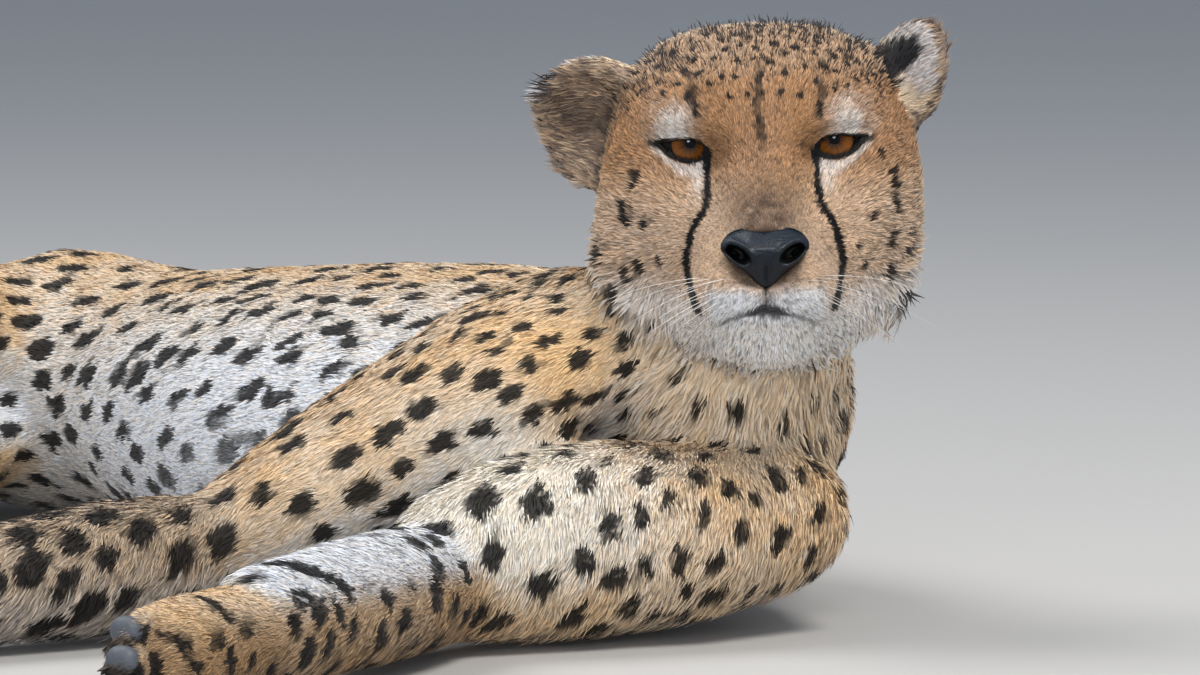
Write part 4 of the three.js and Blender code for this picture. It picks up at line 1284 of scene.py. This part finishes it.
for node, (ankle, knuckle, across, spread, side) in PAWS.items():
    forward = unit(knuckle - ankle)
    under = unit(np.cross(across, forward)) * side
    across = unit(across)
    pads, claws = bmesh.new(), bmesh.new()
    for slot in (-1.5, -0.5, 0.5, 1.5):
        ahead = 40 - abs(slot) * 9
        tip = knuckle + (across * slot * (spread + 3) + forward * ahead) * MM
        facing = unit(under + 0.9 * forward) if side > 0 else unit([-0.5, -0.85, 0.15])
        toe = tip if side > 0 else place(*LEFT_TOES[slot])
        hit = landed(toe, facing)
        if hit is not None:
            half_sizes = (8.4, 7.0, 4.2) if side > 0 else (6.4, 7.8, 5.0)
            pad(pads, hit - facing * 1.2 * MM, facing, forward, half_sizes)
        aimed = unit(forward - 0.25 * under)
        hit = landed(tip, aimed)
        if hit is not None:
            claw(claws, hit - aimed * CLAW_SUNK * MM, aimed, unit(under))
    hit = landed(knuckle + forward * 6 * MM, under, above=0.06, within=1)
    if hit is not None:
        for slot in (-0.8, 0, 0.8):
            middle = hit + (across * slot * 10 - forward * abs(slot) * 5 - under * 1.5) * MM
            pad(pads, middle, under, forward, (9, 9, 4))
    for shell, kind, finish, tone in ((pads, "pads", pad_finish, linear(80, 84, 92)),
                                      (claws, "claws", claw_finish, linear(46, 38, 34))):
        bmesh.ops.recalc_face_normals(shell, faces=shell.faces)
        piece = piece_from(shell, kind + "_" + node)
        give_colour(piece.data, "coat", np.tile(tone, (len(piece.data.vertices), 1)))
        piece.data.shade_smooth()
        piece.data.materials.append(finish)
        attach(piece, "root")


# Whiskers. Long white bristles that taper from a thick root in the pads of the lip, in three rows.
whisker_finish = new_material("whisker", Roughness=0.35)
horn = tint_node(whisker_finish)
horn.inputs[6].default_value = (0.72, 0.68, 0.62, 1)
horn.inputs[7].default_value = (0.93, 0.92, 0.90, 1)
streaks = pattern(whisker_finish, "TexNoise", 300, Detail=3.0, Roughness=0.55)
whisker_finish.node_tree.links.new(streaks.outputs["Fac"], horn.inputs[0])

THICK = 0.16  # millimetres from the middle of a whisker's root to its surface
shell = bmesh.new()
for side, row, column in np.ndindex(2, 3, 4):
    side = 2 * side - 1
    draws = random.normal(0, 1, 4)
    across, up = side * (17 + 4.4 * column + 1.2 * (row % 2) + 0.5 * draws[0]), -56 - 5 * row + 0.5 * draws[1]
    hit = hide_tree.ray_cast(Vector(from_head([across, -200, up])), Vector(TURN @ np.array([0, 1, 0])))[0]
    at = in_head(np.array(hit)) + [0, 0.6, 0]
    heading = unit([side * 0.92, -0.25, -0.02 - 0.2 * row + 0.07 * draws[2]])
    long = (30 + 7 * column) * (1 + 0.14 * draws[3])
    droop = np.array([0, 0.55, -0.42])
    rings = []
    for share in np.linspace(0, 1, 12):
        centre = at + heading * long * share + droop * share**2 * long * 0.55
        along = unit(heading + droop * share * 1.1)
        one = unit(np.cross(along, [0, 0.3, 1]))
        two = np.cross(along, one)
        thickness = THICK * (1 - 0.92 * share)
        rings.append([from_head(centre + thickness * (math.cos(a) * one + math.sin(a) * two))
                      for a in (0, 2.094, 4.189)])
    loft(shell, rings)
bmesh.ops.recalc_face_normals(shell, faces=shell.faces)
whiskers = piece_from(shell, "whiskers")
whiskers.data.shade_smooth()
whiskers.data.materials.append(whisker_finish)
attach(whiskers, "root")


# The stand and the light: a pale matt floor, a large soft light from above, a wide one from the
# front and a small one for the glint in the eyes. The camera lies low before the head.
floor_finish = new_material("floor", Base_Color=(0.50, 0.49, 0.475, 1), Roughness=0.85)
shell = bmesh.new()
bmesh.ops.create_grid(shell, x_segments=1, y_segments=1, size=30)
floor = piece_from(shell, "floor")
floor.data.materials.append(floor_finish)


LIGHTS = {  # place and aim from the stand, width, power and colour
    "key": ((1.2, -1.5, 3.0), (-0.1, 0.1, 0.1), 1.3, 88, (1.0, 0.96, 0.90)),
    "overhead": ((-1.7, 0.4, 2.7), (-0.1, 0.1, 0.1), 2.2, 62, (1.0, 0.98, 0.95)),
    "fill": ((-0.4, -3.2, 0.5), (0, 0, 0.1), 1.6, 43, (0.94, 0.97, 1.0)),
    "window": ((-0.1, -2.7, 1.85), (0.08, 0, 0.24), 0.8, 38, (0.86, 0.93, 1.0)),
}
lamps = {}
for name, (at, aim, wide, power, tone) in LIGHTS.items():
    light = bpy.data.lights.new(name, "AREA")
    light.shape = "DISK"
    light.size = wide
    light.energy = power
    light.color = tone
    lamps[name] = bpy.data.objects.new(name, light)
    lamps[name].location = stand + Vector(at)
    lamps[name].rotation_euler = (Vector(aim) - Vector(at)).to_track_quat("-Z", "Y").to_euler()
    bpy.context.scene.collection.objects.link(lamps[name])
lamps["fill"].visible_glossy = False
lamps["window"].visible_diffuse = False

world = bpy.data.worlds.new("room")
bpy.context.scene.world = world
world.use_nodes = True
world.node_tree.nodes["Background"].inputs["Color"].default_value = (0.72, 0.83, 1.0, 1)
world.node_tree.nodes["Background"].inputs["Strength"].default_value = 0.42
bpy.context.scene.view_settings.view_transform = "Standard"

camera = bpy.data.objects.new("camera", bpy.data.cameras.new("camera"))
camera.location = stand + Vector((0, -4.0, 0.510))
camera.rotation_euler = (math.radians(90 - 5.2), 0, 0)
camera.data.lens = 252
camera.data.sensor_width = 36
camera.data.clip_end = 100
bpy.context.scene.collection.objects.link(camera)
bpy.context.scene.camera = camera
